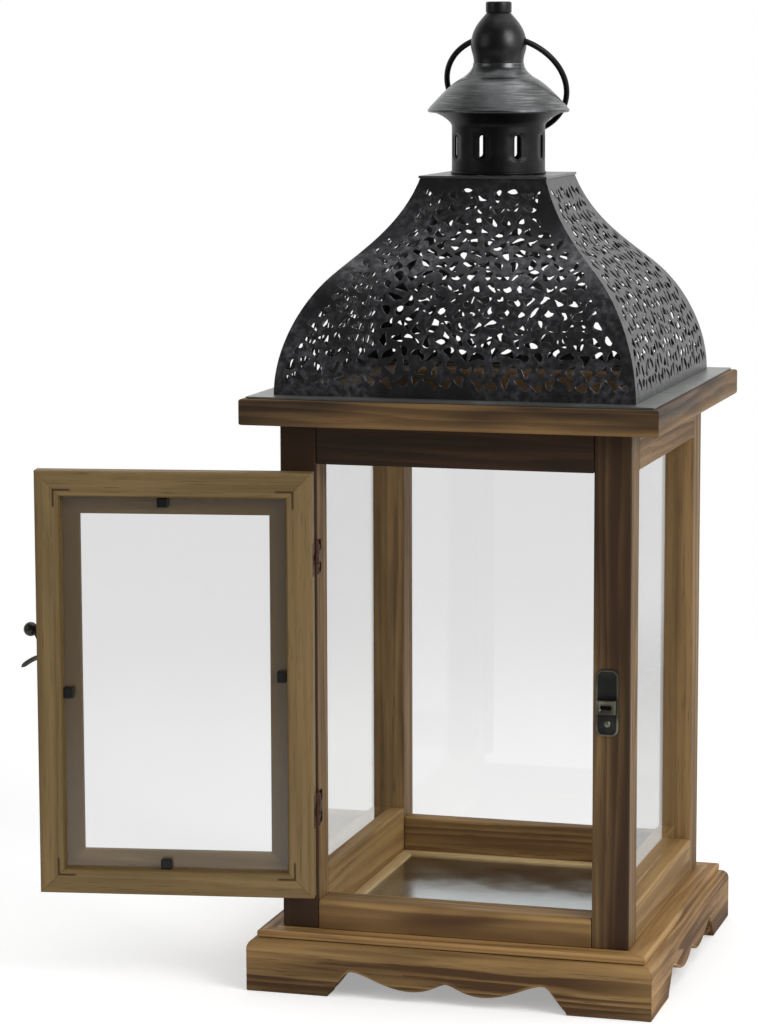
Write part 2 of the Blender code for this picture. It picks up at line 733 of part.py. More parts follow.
def chimney_hat():
    """A hollow cone with a hemmed rim and a round collar that flares out at its foot."""
    rim_top = HAT_BOTTOM + HAT_RIM_HEIGHT
    cone_top = rim_top + HAT_CONE_HEIGHT
    cone = bezier(
        (HAT_RIM_RADIUS, rim_top),
        (HAT_RIM_RADIUS - 0.4 * HAT_CONE_HEIGHT, rim_top + 0.4 * HAT_CONE_HEIGHT),
        (HAT_CONE_TOP_RADIUS + 0.36 * HAT_CONE_HEIGHT, cone_top - 0.16 * HAT_CONE_HEIGHT),
        (HAT_CONE_TOP_RADIUS, cone_top),
        4,
    )
    collar = bezier(
        cone[-1],
        (HAT_CONE_TOP_RADIUS - 0.33 * HAT_COLLAR_HEIGHT, cone_top + 0.24 * HAT_COLLAR_HEIGHT),
        (HAT_COLLAR_RADIUS, HAT_TOP - 0.45 * HAT_COLLAR_HEIGHT),
        (HAT_COLLAR_RADIUS, HAT_TOP),
        3,
    )
    sweep = cone + collar[1:]
    outer = [(0.0, HAT_TOP), *reversed(sweep), (HAT_RIM_RADIUS, HAT_BOTTOM)]
    hem = HAT_RIM_RADIUS - HAT_HEM
    hollow = [(r - HAT_WALL, z - HAT_WALL) for r, z in sweep[1::2] if r - HAT_WALL < hem]
    inner = [(hem, HAT_BOTTOM)] + hollow + [(0.0, HAT_TOP - HAT_WALL)]
    round_off(turned("chimney_hat", outer + inner, 28, "black metal"))


def finial():
    """A hollow bulb, open below, with a solid knob and a hole in each side for the ring."""
    waist = FINIAL_BOTTOM + BULB_WAIST
    neck_top = FINIAL_BOTTOM + BULB_HEIGHT
    top = neck_top + KNOB_HEIGHT
    lower = bezier(
        (BULB_RADIUS, waist),
        (BULB_RADIUS, waist - 0.38 * BULB_WAIST),
        (FINIAL_FOOT_RADIUS, FINIAL_BOTTOM + 0.48 * BULB_WAIST),
        (FINIAL_FOOT_RADIUS, FINIAL_BOTTOM),
        4,
    )
    upper = bezier(
        (KNOB_RADIUS - 0.3 * KNOB_ARRIS, neck_top),
        (KNOB_RADIUS + 0.3 * KNOB_HEIGHT, neck_top - 0.5 * KNOB_HEIGHT),
        (BULB_RADIUS, waist + 0.36 * BULB_HEIGHT),
        (BULB_RADIUS, waist),
        7,
    )
    knob = [
        (0.0, top),
        (KNOB_RADIUS - KNOB_ARRIS, top),
        (KNOB_RADIUS - 0.3 * KNOB_ARRIS, top - 0.3 * KNOB_ARRIS),
        (KNOB_RADIUS, top - KNOB_ARRIS),
        (KNOB_RADIUS, neck_top + 0.6 * KNOB_ARRIS),
    ]
    outer = knob + upper + lower[1:]
    shell = [(r - BULB_WALL, z) for r, z in reversed(upper[3:] + lower[1:])]
    inner = shell + [(0.0, shell[-1][1] + BULB_WALL)]
    item = turned("finial", outer + inner, 20, "black metal")
    reach = BULB_RADIUS + 2 * BULB_WALL
    for side, sign in (("left", -1), ("right", 1)):
        start = (sign * (RING_EXIT - 3 * BULB_WALL), 0, RING_AXIS_Z)
        hole = cylinder(f"ring_hole_{side}", RING_HOLE, start, (sign * reach, 0, RING_AXIS_Z), sides=12)
        combine(item, hole)
    round_off(item)


def ring_handle():
    """A round wire ring through the bulb, leaning back on the hat's rim."""
    bpy.ops.mesh.primitive_torus_add(
        major_radius=RING_RADIUS, minor_radius=RING_WIRE, major_segments=40, minor_segments=6
    )
    ring = bpy.context.active_object
    ring.name = "ring_handle"
    for collection in list(ring.users_collection):
        collection.objects.unlink(ring)
    parts.objects.link(ring)
    hang = Matrix.Translation((0, 0, -RING_CENTRE_DROP)) @ Matrix.Rotation(pi / 2, 4, "X")
    ring.data.transform(hang)
    ring.data.materials.append(finish_of("ring_handle", "black metal"))
    ring.location = (0, 0, RING_AXIS_Z)
    ring.rotation_euler = (RING_LEAN, 0, 0)
    ring.data.shade_smooth()


def hinge_heights():
    return (DOOR_BOTTOM + HINGE_INSET, DOOR_TOP - HINGE_INSET)


def hinge_mortise(name, height, sign):
    """The shallow recess that a hinge leaf lies in: sign -1 is the post, +1 the door."""
    face = -POST_INNER if sign < 0 else DOOR_LEFT
    floor_x = HINGE_X + sign * (HINGE_LEAF_SPREAD + HINGE_LEAF_THICKNESS + GAP)
    x0, x1 = sorted((floor_x, face - sign * 0.001))
    back = HINGE_Y + HINGE_LEAF_WIDTH + KNUCKLE_RADIUS + GAP
    half = LEAF_HEIGHT / 2 + GAP
    return box(name, (x0, DOOR_FRONT - 0.001, height - half), (x1, back, height + half))


def hinge_leaf(name, height, sign, knuckles, owner=None):
    """A leaf plate with its knuckles, bored for the pin."""
    x0, x1 = sorted(HINGE_X + sign * d for d in (HINGE_LEAF_SPREAD, HINGE_LEAF_SPREAD + HINGE_LEAF_THICKNESS))
    front = HINGE_Y + PIN_RADIUS + PIN_SLACK + 0.0002
    back = HINGE_Y + KNUCKLE_RADIUS + HINGE_LEAF_WIDTH
    low, high = height - LEAF_HEIGHT / 2, height + LEAF_HEIGHT / 2
    wrap = HINGE_Y + KNUCKLE_RADIUS + 2 * GAP
    leaf = box(name, (x0, wrap, low), (x1, back, high), "bronze")
    third = LEAF_HEIGHT / 3
    for i in knuckles:
        start = low + third * i + (GAP / 2 if i else 0.0)
        end = low + third * (i + 1) - (GAP / 2 if i < 2 else 0.0)
        root = box(f"{name}_root_{i}", (x0, front, start), (x1, wrap + 0.001, end))
        barrel = cylinder(
            f"{name}_barrel_{i}", KNUCKLE_RADIUS, (HINGE_X, HINGE_Y, start), (HINGE_X, HINGE_Y, end)
        )
        combine(leaf, root, "UNION")
        combine(leaf, barrel, "UNION")
        hold(root, owner)
        hold(barrel, owner)
    start, end = (HINGE_X, HINGE_Y, low - 0.001), (HINGE_X, HINGE_Y, high + 0.001)
    bore = cylinder(f"{name}_bore", PIN_RADIUS + PIN_SLACK, start, end)
    combine(leaf, bore)
    hold(bore, owner)
    hold(leaf, owner)


def hinge_pin(name, height):
    low, high = height - LEAF_HEIGHT / 2, height + LEAF_HEIGHT / 2
    head = high + GAP
    profile = [
        (0.0, head + PIN_HEAD_HEIGHT),
        (PIN_HEAD_RADIUS, head + PIN_HEAD_HEIGHT),
        (PIN_HEAD_RADIUS, head),
        (PIN_RADIUS, head),
        (PIN_RADIUS, low - PIN_HEAD_HEIGHT),
        (0.0, low - PIN_HEAD_HEIGHT),
    ]
    pin = turned(name, profile, 16, "bronze")
    pin.location = (HINGE_X, HINGE_Y, 0)
    round_off(pin)


def hold(item, owner):
    """Hang an item on an empty without moving it."""
    if owner:
        item.parent = owner
        item.matrix_parent_inverse = owner.matrix_world.inverted()


def pivot(name, location, owner=None):
    empty = bpy.data.objects.new(name, None)
    empty.empty_display_size = 0.01
    parts.objects.link(empty)
    empty.matrix_world = Matrix.Translation(location)
    bpy.context.view_layer.update()
    hold(empty, owner)
    bpy.context.view_layer.update()
    return empty


def door_member(name, length, place, owner, latch_side=False):
    """A rebated frame member, mitred at both ends. Its outer edge runs along +X at y = 0."""
    lip = DOOR_THICKNESS - REBATE_DEPTH
    section = [
        (0.0, 0.0),
        (STILE_WIDTH, 0.0),
        (STILE_WIDTH, lip),
        (STILE_WIDTH - REBATE_WIDTH, lip),
        (STILE_WIDTH - REBATE_WIDTH, DOOR_THICKNESS),
        (0.0, DOOR_THICKNESS),
    ]
    along_x = Matrix(((0, 0, 1, 0), (1, 0, 0, 0), (0, 1, 0, 0), (0, 0, 0, 1)))
    mesh = prism_mesh(name, [section], length, along_x)
    edge = length / 2 - GAP / 2 * sqrt(2)
    for sign in (-1, 1):
        cut_square(mesh, (sign * edge, 0, 0), (sign, 1, 0))
    member = add(name, mesh, "brown wood", place)
    hold(member, owner)
    return member


def door(owner):
    """Two stiles and two rails, mitred, with the glass and its clips inside the rebate."""
    width, height = DOOR_RIGHT - DOOR_LEFT, DOOR_TOP - DOOR_BOTTOM
    middle_x, middle_z = (DOOR_LEFT + DOOR_RIGHT) / 2, (DOOR_BOTTOM + DOOR_TOP) / 2
    # Each member lies with its outer edge on the door's edge and its face to the front
    stand = Matrix(((1, 0, 0, 0), (0, 0, 1, DOOR_FRONT), (0, 1, 0, 0), (0, 0, 0, 1)))

    def placed(x, z, turn):
        return Matrix.Translation((x, 0, z)) @ Matrix.Rotation(turn, 4, "Y") @ stand

    door_member("door_rail_bottom", width, placed(middle_x, DOOR_BOTTOM, 0), owner)
    door_member("door_rail_top", width, placed(middle_x, DOOR_TOP, pi), owner)
    hinge_stile = door_member("door_stile_hinge", height, placed(DOOR_LEFT, middle_z, pi / 2), owner)
    door_member("door_stile_latch", height, placed(DOOR_RIGHT, middle_z, -pi / 2), owner)
    for level in hinge_heights():
        mortise = hinge_mortise(f"door_mortise_{level:.3f}", level, 1)
        hold(mortise, owner)
        combine(hinge_stile, mortise)

    inset = STILE_WIDTH - REBATE_WIDTH + DOOR_GLASS_SLACK
    low = (DOOR_LEFT + inset, DOOR_GLASS_Y, DOOR_BOTTOM + inset)
    high = (DOOR_RIGHT - inset, DOOR_GLASS_Y + GLASS_THICKNESS, DOOR_TOP - inset)
    hold(box("door_glass", low, high, "glass"), owner)

    wall = STILE_WIDTH - REBATE_WIDTH + GAP
    y0 = DOOR_GLASS_Y + GLASS_THICKNESS + GAP
    y1 = y0 + CLIP_THICKNESS
    half = CLIP_LENGTH / 2
    left, right = DOOR_LEFT + wall, DOOR_RIGHT - wall
    bottom, top = DOOR_BOTTOM + wall, DOOR_TOP - wall
    mid_x = middle_x + CLIP_END_OFFSET
    hinge_z, latch_z = middle_z + CLIP_SIDE_OFFSET, middle_z - CLIP_SIDE_OFFSET
    clips = {
        "glass_clip_bottom": ((mid_x - half, y0, bottom), (mid_x + half, y1, bottom + CLIP_WIDTH)),
        "glass_clip_top": ((mid_x - half, y0, top - CLIP_WIDTH), (mid_x + half, y1, top)),
        "glass_clip_hinge": ((left, y0, hinge_z - half), (left + CLIP_WIDTH, y1, hinge_z + half)),
        "glass_clip_latch": ((right - CLIP_WIDTH, y0, latch_z - half), (right, y1, latch_z + half)),
    }
    for name, (low, high) in clips.items():
        hold(soften(box(name, low, high, "black metal"), CLIP_ARRIS), owner)


def latch_outline(x, corner):
    """An upright plate outline about x with rounded corners, or round ends."""
    across, along = LATCH_PLATE_WIDTH / 2 - corner, LATCH_PLATE_LENGTH / 2 - corner
    outline = []
    for quarter in range(4):
        side_x = x + (across if quarter in (0, 3) else -across)
        side_z = LATCH_PLATE_HEIGHT + (along if quarter < 2 else -along)
        outline += arc((side_x, side_z), corner, quarter * pi / 2, (quarter + 1) * pi / 2, 4)
    return outline


def facing_prism(name, outline, front, back):
    """An outline in x and z, thickened from y = front to y = back."""
    place = Matrix.Translation((0, (front + back) / 2, 0)) @ Matrix.Rotation(pi / 2, 4, "X")
    return prism_mesh(name, [outline], back - front, place)


def latch_plate(owner):
    outline = latch_outline(RIVET_X, LATCH_PLATE_CORNER)
    back, front = LATCH_PLATE_Y, LATCH_PLATE_Y - LATCH_PLATE_THICKNESS
    plate = add("latch_plate", facing_prism("latch_plate", outline, front, back), "bronze")
    hole = cylinder(
        "latch_plate_hole",
        RIVET_RADIUS + GAP,
        (RIVET_X, front - 0.001, RIVET_Z),
        (RIVET_X, back + 0.001, RIVET_Z),
    )
    combine(plate, hole)
    hold(hole, owner)
    hold(plate, owner)
    bore = screw_bore("latch_bore", RIVET_X, SCREW_Z, owner)
    combine(plate, bore)
    combine(parts.objects["door_stile_latch"], bore)
    plate_screw("latch_screw", RIVET_X, SCREW_Z, owner)


def latch_rivet(owner):
    """The lever's pivot: a shank through lever and plate under a flat head."""
    head_back = LEVER_Y - LEVER_THICKNESS - GAP
    head_front = head_back - RIVET_HEAD_HEIGHT
    tail = LATCH_PLATE_Y - GAP / 2
    profile = [
        (0.0, -head_front),
        (RIVET_HEAD_RADIUS - 0.0006, -head_front),
        (RIVET_HEAD_RADIUS, -head_front - 0.0005),
        (RIVET_HEAD_RADIUS, -head_back),
        (RIVET_RADIUS, -head_back),
        (RIVET_RADIUS, -tail),
        (0.0, -tail),
    ]
    rivet = turned("latch_rivet", profile, 16, "bronze")
    rivet.matrix_world = Matrix.Translation((RIVET_X, 0, RIVET_Z)) @ Matrix.Rotation(pi / 2, 4, "X")
    bpy.context.view_layer.update()
    hold(rivet, owner)
    round_off(rivet)


def latch_lever(owner):
    """The hook as it lies when latched: an eye, an arm with a drooping tip, and a thumb ball."""
    # In parts of the lever's reach: along the top to the ball, down the tip and back
    shape = (
        (0.313, 0.106), (0.563, 0.144), (0.750, 0.238), (0.922, 0.400),
        (1.000, 0.319), (0.850, 0.144), (0.775, 0.016), (0.756, -0.156),
        (0.731, -0.319), (0.706, -0.353), (0.678, -0.338), (0.647, -0.156),
        (0.606, -0.044), (0.438, -0.075), (0.250, -0.091),
    )
    arm = [(LEVER_REACH * x, LEVER_REACH * z) for x, z in shape]
    eye = arc((0, 0), LEVER_EYE_RADIUS, radians(310), radians(50), 10)
    outline = [(RIVET_X + x, RIVET_Z + z) for x, z in (*arm, *eye)]
    back, front = LEVER_Y, LEVER_Y - LEVER_THICKNESS
    lever = add("latch_lever", facing_prism("latch_lever", outline, front, back), "bronze")
    hole = cylinder(
        "latch_lever_hole",
        RIVET_RADIUS + GAP,
        (RIVET_X, front - 0.001, RIVET_Z),
        (RIVET_X, back + 0.001, RIVET_Z),
    )
    ball_x, ball_z = RIVET_X + 0.984 * LEVER_REACH, RIVET_Z + 0.363 * LEVER_REACH
    ball_centre = (ball_x, DOOR_FRONT - 2 * GAP - BALL_RADIUS, ball_z)
    bm = bmesh.new()
    bmesh.ops.create_uvsphere(bm, u_segments=12, v_segments=8, radius=BALL_RADIUS)
    ball = add("latch_ball", mesh_from("latch_ball", bm), None, Matrix.Translation(ball_centre))
    bpy.context.view_layer.update()
    combine(lever, ball, "UNION")
    combine(lever, hole)
    for item in (hole, ball, lever):
        hold(item, owner)


def screw_place(x, level):
    """Where a screw's axis runs: its own +Z points to the front."""
    return Matrix.Translation((x, 0, level)) @ Matrix.Rotation(pi / 2, 4, "X")


def screw_bore(name, x, level, owner=None):
    front = LATCH_PLATE_Y - LATCH_PLATE_THICKNESS - 0.001
    back = LATCH_PLATE_Y + SCREW_LENGTH + GAP
    bore = cylinder(name, SCREW_RADIUS + SCREW_SLACK, (x, front, level), (x, back, level), sides=12)
    hold(bore, owner)
    return bore


def plate_screw(name, x, level, owner=None):
    """A screw through a plate into the wood, with a shallow rounded head."""
    seat = -(LATCH_PLATE_Y - LATCH_PLATE_THICKNESS - GAP)
    tip = -(LATCH_PLATE_Y + SCREW_LENGTH)
    profile = [
        (0.0, seat + SCREW_HEAD_HEIGHT),
        (0.6 * SCREW_HEAD_RADIUS, seat + 0.85 * SCREW_HEAD_HEIGHT),
        (SCREW_HEAD_RADIUS, seat),
        (SCREW_RADIUS, seat),
        (SCREW_RADIUS, tip + SCREW_RADIUS),
        (0.0, tip),
    ]
    screw = turned(name, profile, 12, "bronze")
    screw.matrix_world = screw_place(x, level)
    bpy.context.view_layer.update()
    hold(screw, owner)
    round_off(screw)


def keeper():
    """The plate on the post, with the staple that the hook drops into."""
    outline = latch_outline(KEEPER_X, KEEPER_CORNER)
    back, front = LATCH_PLATE_Y, LATCH_PLATE_Y - LATCH_PLATE_THICKNESS
    plate = add("keeper_plate", facing_prism("keeper_plate", outline, front, back), "bronze")
    inside = LEVER_Y - LEVER_THICKNESS - GAP
    outside = inside - STAPLE_WALL
    half_x, half_z = STAPLE_WIDTH / 2, STAPLE_HEIGHT / 2
    block = box(
        "staple_block",
        (KEEPER_X - half_x, outside, STAPLE_Z - half_z),
        (KEEPER_X + half_x, front + 0.0004, STAPLE_Z + half_z),
    )
    passage = box(
        "staple_passage",
        (KEEPER_X - half_x + STAPLE_WALL, inside, STAPLE_Z - 2 * half_z),
        (KEEPER_X + half_x - STAPLE_WALL, front, STAPLE_Z + 2 * half_z),
    )
    window = box(
        "staple_window",
        (KEEPER_X - STAPLE_WINDOW_WIDTH / 2, outside - 0.001, STAPLE_Z - STAPLE_WINDOW_HEIGHT / 2),
        (KEEPER_X + STAPLE_WINDOW_WIDTH / 2, inside + 0.0005, STAPLE_Z + STAPLE_WINDOW_HEIGHT / 2),
    )
    combine(plate, block, "UNION")
    combine(plate, passage)
    combine(plate, window)
    post = parts.objects["post_front_right"]
    bore = screw_bore("keeper_bore", KEEPER_X, SCREW_Z)
    combine(plate, bore)
    combine(post, bore)
    plate_screw("keeper_screw", KEEPER_X, SCREW_Z)


def build():
    skirt_boards()
    plinth_board()
    floor()
    posts()
    headers()
    rails()
    panes()
    cap()
    roof_panels()
    roof_top_plate()
    chimney_neck()
    chimney_hat()
    finial()
    ring_handle()

    door_pivot = pivot("door_axis", (HINGE_X, HINGE_Y, 0))
    door(door_pivot)
    for level, height in zip(("lower", "upper"), hinge_heights()):
        hinge_leaf(f"hinge_{level}_post_leaf", height, -1, (0, 2))
        hinge_leaf(f"hinge_{level}_door_leaf", height, 1, (1,), door_pivot)
        hinge_pin(f"hinge_{level}_pin", height)
    latch_plate(door_pivot)
    latch_rivet(door_pivot)
    lever_pivot = pivot("latch_axis", (RIVET_X, LEVER_Y, RIVET_Z), door_pivot)
    latch_lever(lever_pivot)
    keeper()

    lever_pivot.rotation_euler = (0, -LEVER_RAISED, 0)
    door_pivot.rotation_euler = (0, 0, -DOOR_OPEN)
    bpy.context.view_layer.update()


build()
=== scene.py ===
import math

import bmesh
import bpy
import numpy as np
from mathutils import Matrix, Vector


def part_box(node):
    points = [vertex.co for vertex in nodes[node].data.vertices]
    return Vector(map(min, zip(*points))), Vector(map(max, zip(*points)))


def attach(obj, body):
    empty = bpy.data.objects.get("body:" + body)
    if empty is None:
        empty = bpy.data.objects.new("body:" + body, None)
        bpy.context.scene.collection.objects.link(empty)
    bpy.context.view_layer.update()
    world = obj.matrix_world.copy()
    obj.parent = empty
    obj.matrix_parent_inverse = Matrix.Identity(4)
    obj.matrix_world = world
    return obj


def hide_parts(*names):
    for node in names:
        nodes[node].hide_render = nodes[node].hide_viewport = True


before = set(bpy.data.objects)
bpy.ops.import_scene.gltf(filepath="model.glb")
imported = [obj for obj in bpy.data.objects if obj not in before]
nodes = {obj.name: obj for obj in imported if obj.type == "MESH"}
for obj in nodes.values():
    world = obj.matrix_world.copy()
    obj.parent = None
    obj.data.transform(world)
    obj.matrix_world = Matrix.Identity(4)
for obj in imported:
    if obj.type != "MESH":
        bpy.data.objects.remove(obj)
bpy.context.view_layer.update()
print("frame loaded,", len(nodes), "solids")


class Sizes(dict):  # a dictionary whose values can also be read with a dot
    __getattr__ = dict.__getitem__


# Small tools for node trees


def tint(red, green, blue):
    # Screen values of 0 to 255 as linear light: ((c + 0.055) / 1.055) to the power 2.4.
    c = np.array((red, green, blue)) / 255
    linear = np.where(c <= 0.04045, c / 12.92, ((c + 0.055) / 1.055) ** 2.4)
    return (*linear.tolist(), 1.0)


def feed(tree, inputs, given):  # links a socket into an input, or sets the input to a value
    for key, value in given.items():
        if isinstance(value, bpy.types.NodeSocket):
            tree.links.new(value, inputs[key])
        else:
            inputs[key].default_value = value


def put(tree, kind, given=None, **settings):  # a new node with its settings and its inputs
    made = tree.nodes.new("ShaderNode" + kind)
    for key, value in settings.items():
        setattr(made, key, value)
    feed(tree, made.inputs, given or {})
    return made


def sums(tree, operation, *values, clamp=False):
    return put(tree, "Math", dict(enumerate(values)), operation=operation, use_clamp=clamp).outputs[0]


def times(tree, first, second, clamp=False):
    return sums(tree, "MULTIPLY", first, second, clamp=clamp)


def scaled(tree, value, factor, more):  # value * factor + more
    return sums(tree, "MULTIPLY_ADD", value, factor, more)


def stretched(tree, place, scale):
    return put(tree, "VectorMath", {0: place, 1: scale}, operation="MULTIPLY").outputs[0]


def noise(tree, place, scale, detail=2.0, roughness=0.5, distortion=0.0):
    given = {"Vector": place, "Scale": scale, "Detail": detail, "Roughness": roughness}
    return put(tree, "TexNoise", {**given, "Distortion": distortion}).outputs["Fac"]


def ramped(tree, value, low, high, start=0.0, end=1.0):  # smooth step from start to end between low and high
    given = {"Value": value, "From Min": low, "From Max": high, "To Min": start, "To Max": end}
    return put(tree, "MapRange", given, interpolation_type="SMOOTHSTEP").outputs["Result"]


def blended(tree, share, first, second, way="MIX"):
    return put(tree, "Mix", {0: share, 6: first, 7: second}, data_type="RGBA", blend_type=way).outputs[2]


def ownPlace(tree):
    return put(tree, "TexCoord").outputs["Object"]


def newGroup(name, **sockets):  # the names of its inputs for each kind of socket
    tree = bpy.data.node_groups.new(name, "ShaderNodeTree")
    for kind, labels in sockets.items():
        for label in labels.split():
            tree.interface.new_socket(label, in_out="INPUT", socket_type="NodeSocket" + kind)
    for label, kind in (("Colour", "Color"), ("Roughness", "Float"), ("Height", "Float")):
        tree.interface.new_socket(label, in_out="OUTPUT", socket_type="NodeSocket" + kind)
    return tree, tree.nodes.new("NodeGroupInput").outputs, tree.nodes.new("NodeGroupOutput").inputs


# Effects that several finishes share


def torchedGrainGroup():
    # Rings are a soft saw of across * rings + wide noise * swirl. Streaks, fibres and pores are noise drawn
    # out along the grain. Char shows where broad noise, scorch, arris and the toast-and-shade mark add up past
    # a limit, so torching and painted shade both darken towards char, and worn arrises turn pale.
    tree, given, out = newGroup("torchedGrain", Vector="Place", Color="Early Late Char",
                                Float="Rings Swirl Bold Streaky Scorch Edge Wear Toast")
    place = given["Place"]
    drawn = lambda along: stretched(tree, place, (along, 1.0, 1.0))
    wide = noise(tree, drawn(0.06), 38.0)
    ringAcross = {0: place, 1: (0.0, 0.8, 0.6)}
    ringAcross = put(tree, "VectorMath", ringAcross, operation="DOT_PRODUCT").outputs["Value"]
    phase = sums(tree, "ADD", times(tree, ringAcross, given["Rings"]), times(tree, wide, given["Swirl"]))
    ring = sums(tree, "FRACT", phase)
    late = times(tree, ramped(tree, ring, 0.1, 0.8), ramped(tree, ring, 0.84, 1.0, 1.0, 0.0))
    broad = noise(tree, drawn(0.12), 34.0)
    strong = times(tree, ramped(tree, broad, 0.3, 0.68, 0.25, 1.5), given["Bold"])
    streak = noise(tree, drawn(0.03), 130.0)
    fibre = noise(tree, drawn(0.018), 700.0, 3.0, 0.6)
    pores = ramped(tree, noise(tree, drawn(0.035), 1500.0, 1.0), 0.6, 0.7)
    tone = scaled(tree, scaled(tree, streak, 3.4, -1.7), given["Streaky"], 0.3)
    tone = scaled(tree, late, strong, scaled(tree, pores, 0.55, tone))
    tone = sums(tree, "ADD", tone, scaled(tree, fibre, 0.9, -0.45), clamp=True)
    wood = blended(tree, tone, given["Early"], given["Late"])
    cloud = noise(tree, drawn(0.11), 30.0, 3.0, 0.6, 0.3)
    heat = scaled(tree, given["Scorch"], 0.8, sums(tree, "SUBTRACT", cloud, 0.4))
    heat = scaled(tree, late, 0.07, heat)
    heat = scaled(tree, times(tree, given["Edge"], given["Scorch"]), 0.16, heat)
    # Toast and painted shade both push the wood towards char
    heat = scaled(tree, given["Toast"], 0.6, heat)
    wood = blended(tree, ramped(tree, heat, 0.42, 0.84), wood, given["Char"])
    rubbed = times(tree, times(tree, given["Edge"], given["Wear"]), ramped(tree, cloud, 0.62, 0.36))
    pale = blended(tree, 1.0, given["Early"], (1.45, 1.45, 1.45, 1), "MULTIPLY")
    grooves = scaled(tree, pores, -0.5, times(tree, late, -0.3))
    feed(tree, out, {"Colour": blended(tree, rubbed, wood, pale), "Roughness": scaled(tree, tone, 0.12, 0.5),
                     "Height": scaled(tree, fibre, 0.5, grooves)})
    return tree


def dustyPaintGroup():
    # Satin paint with fine grit. Streaks are rubbed pale where broad noise is high, and the gloss follows
    # it.
    tree, given, out = newGroup("dustyPaint", Vector="Place Streaks", Color="Paint Rub", Float="Rubbing Gloss")
    place = given["Place"]
    broad = noise(tree, place, 32.0, 3.0, 0.55)
    streak = noise(tree, stretched(tree, place, given["Streaks"]), 60.0, 3.0, 0.6)
    grit = noise(tree, place, 900.0)
    rub = times(tree, ramped(tree, streak, 0.35, 0.72), ramped(tree, broad, 0.3, 0.7))
    rub = times(tree, rub, given["Rubbing"], clamp=True)
    feed(tree, out, {"Colour": blended(tree, rub, given["Paint"], given["Rub"]),
                     "Roughness": sums(tree, "ADD", given["Gloss"], scaled(tree, broad, 0.24, -0.12)),
                     "Height": scaled(tree, grit, 0.5, times(tree, streak, 0.5))})
    return tree


torchedGrain = torchedGrainGroup()
dustyPaint = dustyPaintGroup()


# Finishes

relief = Sizes(wood=0.0002, paint=0.00004)
# Cutter marks that run past the corners of the door's rebate
cutterMarks = Sizes(deep=0.0105, across=0.0118, width=0.0010, reach=0.0212, fade=0.0025,
                    colour=(56, 40, 22))


def newFinish(name, **sockets):
    finish = bpy.data.materials.new(name)
    finish.use_nodes = True
    tree = finish.node_tree
    shader = tree.nodes["Principled BSDF"].inputs
    feed(tree, shader, {key.replace("_", " "): value for key, value in sockets.items()})
    return finish, tree, shader


def coated(tree, shader, colour, coat, distance):  # a colour, and a group's roughness and relief
    bump = put(tree, "Bump", {"Height": coat["Height"], "Distance": distance, "Strength": 0.5}).outputs[0]
    feed(tree, shader, {"Base Color": colour, "Roughness": coat["Roughness"], "Normal": bump})


def woodFinish(name, early, late, char, rings, swirl, bold, streaky, scorch, wear, marks=None):
    # The grain follows each piece's own place along, across and into the board.
    finish, tree, shader = newFinish(name, Specular_IOR_Level=0.22)
    read = lambda label, kind: put(tree, "Attribute", attribute_name=label).outputs[kind]
    given = {"Place": read("grainPlace", "Vector"), "Edge": read("arris", "Fac"), "Toast": read("toast", "Fac"),
             "Early": tint(*early), "Late": tint(*late), "Char": tint(*char), "Rings": rings, "Swirl": swirl,
             "Bold": bold, "Streaky": streaky, "Scorch": scorch, "Wear": wear}
    grain = put(tree, "Group", given, node_tree=torchedGrain).outputs
    colour = grain["Colour"]
    if marks:
        parts = put(tree, "SeparateXYZ", {0: read("boardPlace", "Vector")}).outputs
        offLine = sums(tree, "ABSOLUTE", sums(tree, "SUBTRACT", parts["Y"], marks.across))
        onLine = ramped(tree, offLine, 0.35 * marks.width, marks.width, 1.0, 0.0)
        nearEnd = ramped(tree, parts["Z"], marks.reach, marks.reach + marks.fade, 0.9, 0.0)
        inside = ramped(tree, parts["X"], marks.deep, marks.deep + 0.0004)
        share = times(tree, inside, times(tree, onLine, nearEnd))
        colour = blended(tree, share, colour, tint(*marks.colour))
    coated(tree, shader, colour, grain, relief.wood)
    return finish


def paintFinish(name, paint, rub, rubbing, gloss, metallic, streaks=(1.0, 1.0, 1.0)):
    finish, tree, shader = newFinish(name, Metallic=metallic)
    given = {"Place": ownPlace(tree), "Paint": tint(*paint), "Rub": tint(*rub), "Rubbing": rubbing,
             "Gloss": gloss, "Streaks": streaks}
    coat = put(tree, "Group", given, node_tree=dustyPaint).outputs
    coated(tree, shader, coat["Colour"], coat, relief.paint)
    return finish


# Early wood, late wood and char as screen colours; then rings, swirl, bold, streaky, scorch and wear
woods = {
    "door": ((128, 106, 69), (100, 80, 49), (94, 73, 38), 110, 7, 0.25, 0.7, 0.2, 0, cutterMarks),
    "post": ((145, 116, 76), (100, 76, 46), (50, 36, 24), 170, 7, 0.4, 0.6, 0.26, 0),
    # frontPost, header and frontBase are darker copies of post, sideHeader and base: torched, and also painted
    # shade on faces turned away from the light, the header's under the cap
    "frontPost": ((137, 109, 70), (94, 70, 42), (56, 37, 21), 170, 7, 0.4, 0.6, 0.3, 0),
    "header": ((76, 53, 33), (54, 36, 22), (38, 26, 18), 200, 7, 0.3, 0.5, 0.4, 0),
    "sideHeader": ((142, 110, 68), (98, 71, 41), (58, 40, 24), 190, 7, 0.4, 0.6, 0.24, 0),
    "rail": ((152, 122, 76), (106, 78, 46), (76, 49, 29), 170, 7, 0.5, 0.6, 0.3, 0.5),
    "bead": ((206, 180, 134), (168, 138, 94), (110, 84, 54), 260, 7, 0.2, 0.5, 0.1, 0),
    "cap": ((135, 104, 63), (92, 66, 39), (50, 36, 24), 190, 7, 0.45, 0.6, 0.32, 0.4),
    "frontBase": ((140, 111, 69), (78, 53, 28), (60, 40, 22), 130, 9, 0.85, 0.7, 0.36, 0.7),
    "base": ((158, 124, 77), (88, 59, 31), (66, 43, 23), 130, 9, 0.85, 0.7, 0.36, 0.7),
}
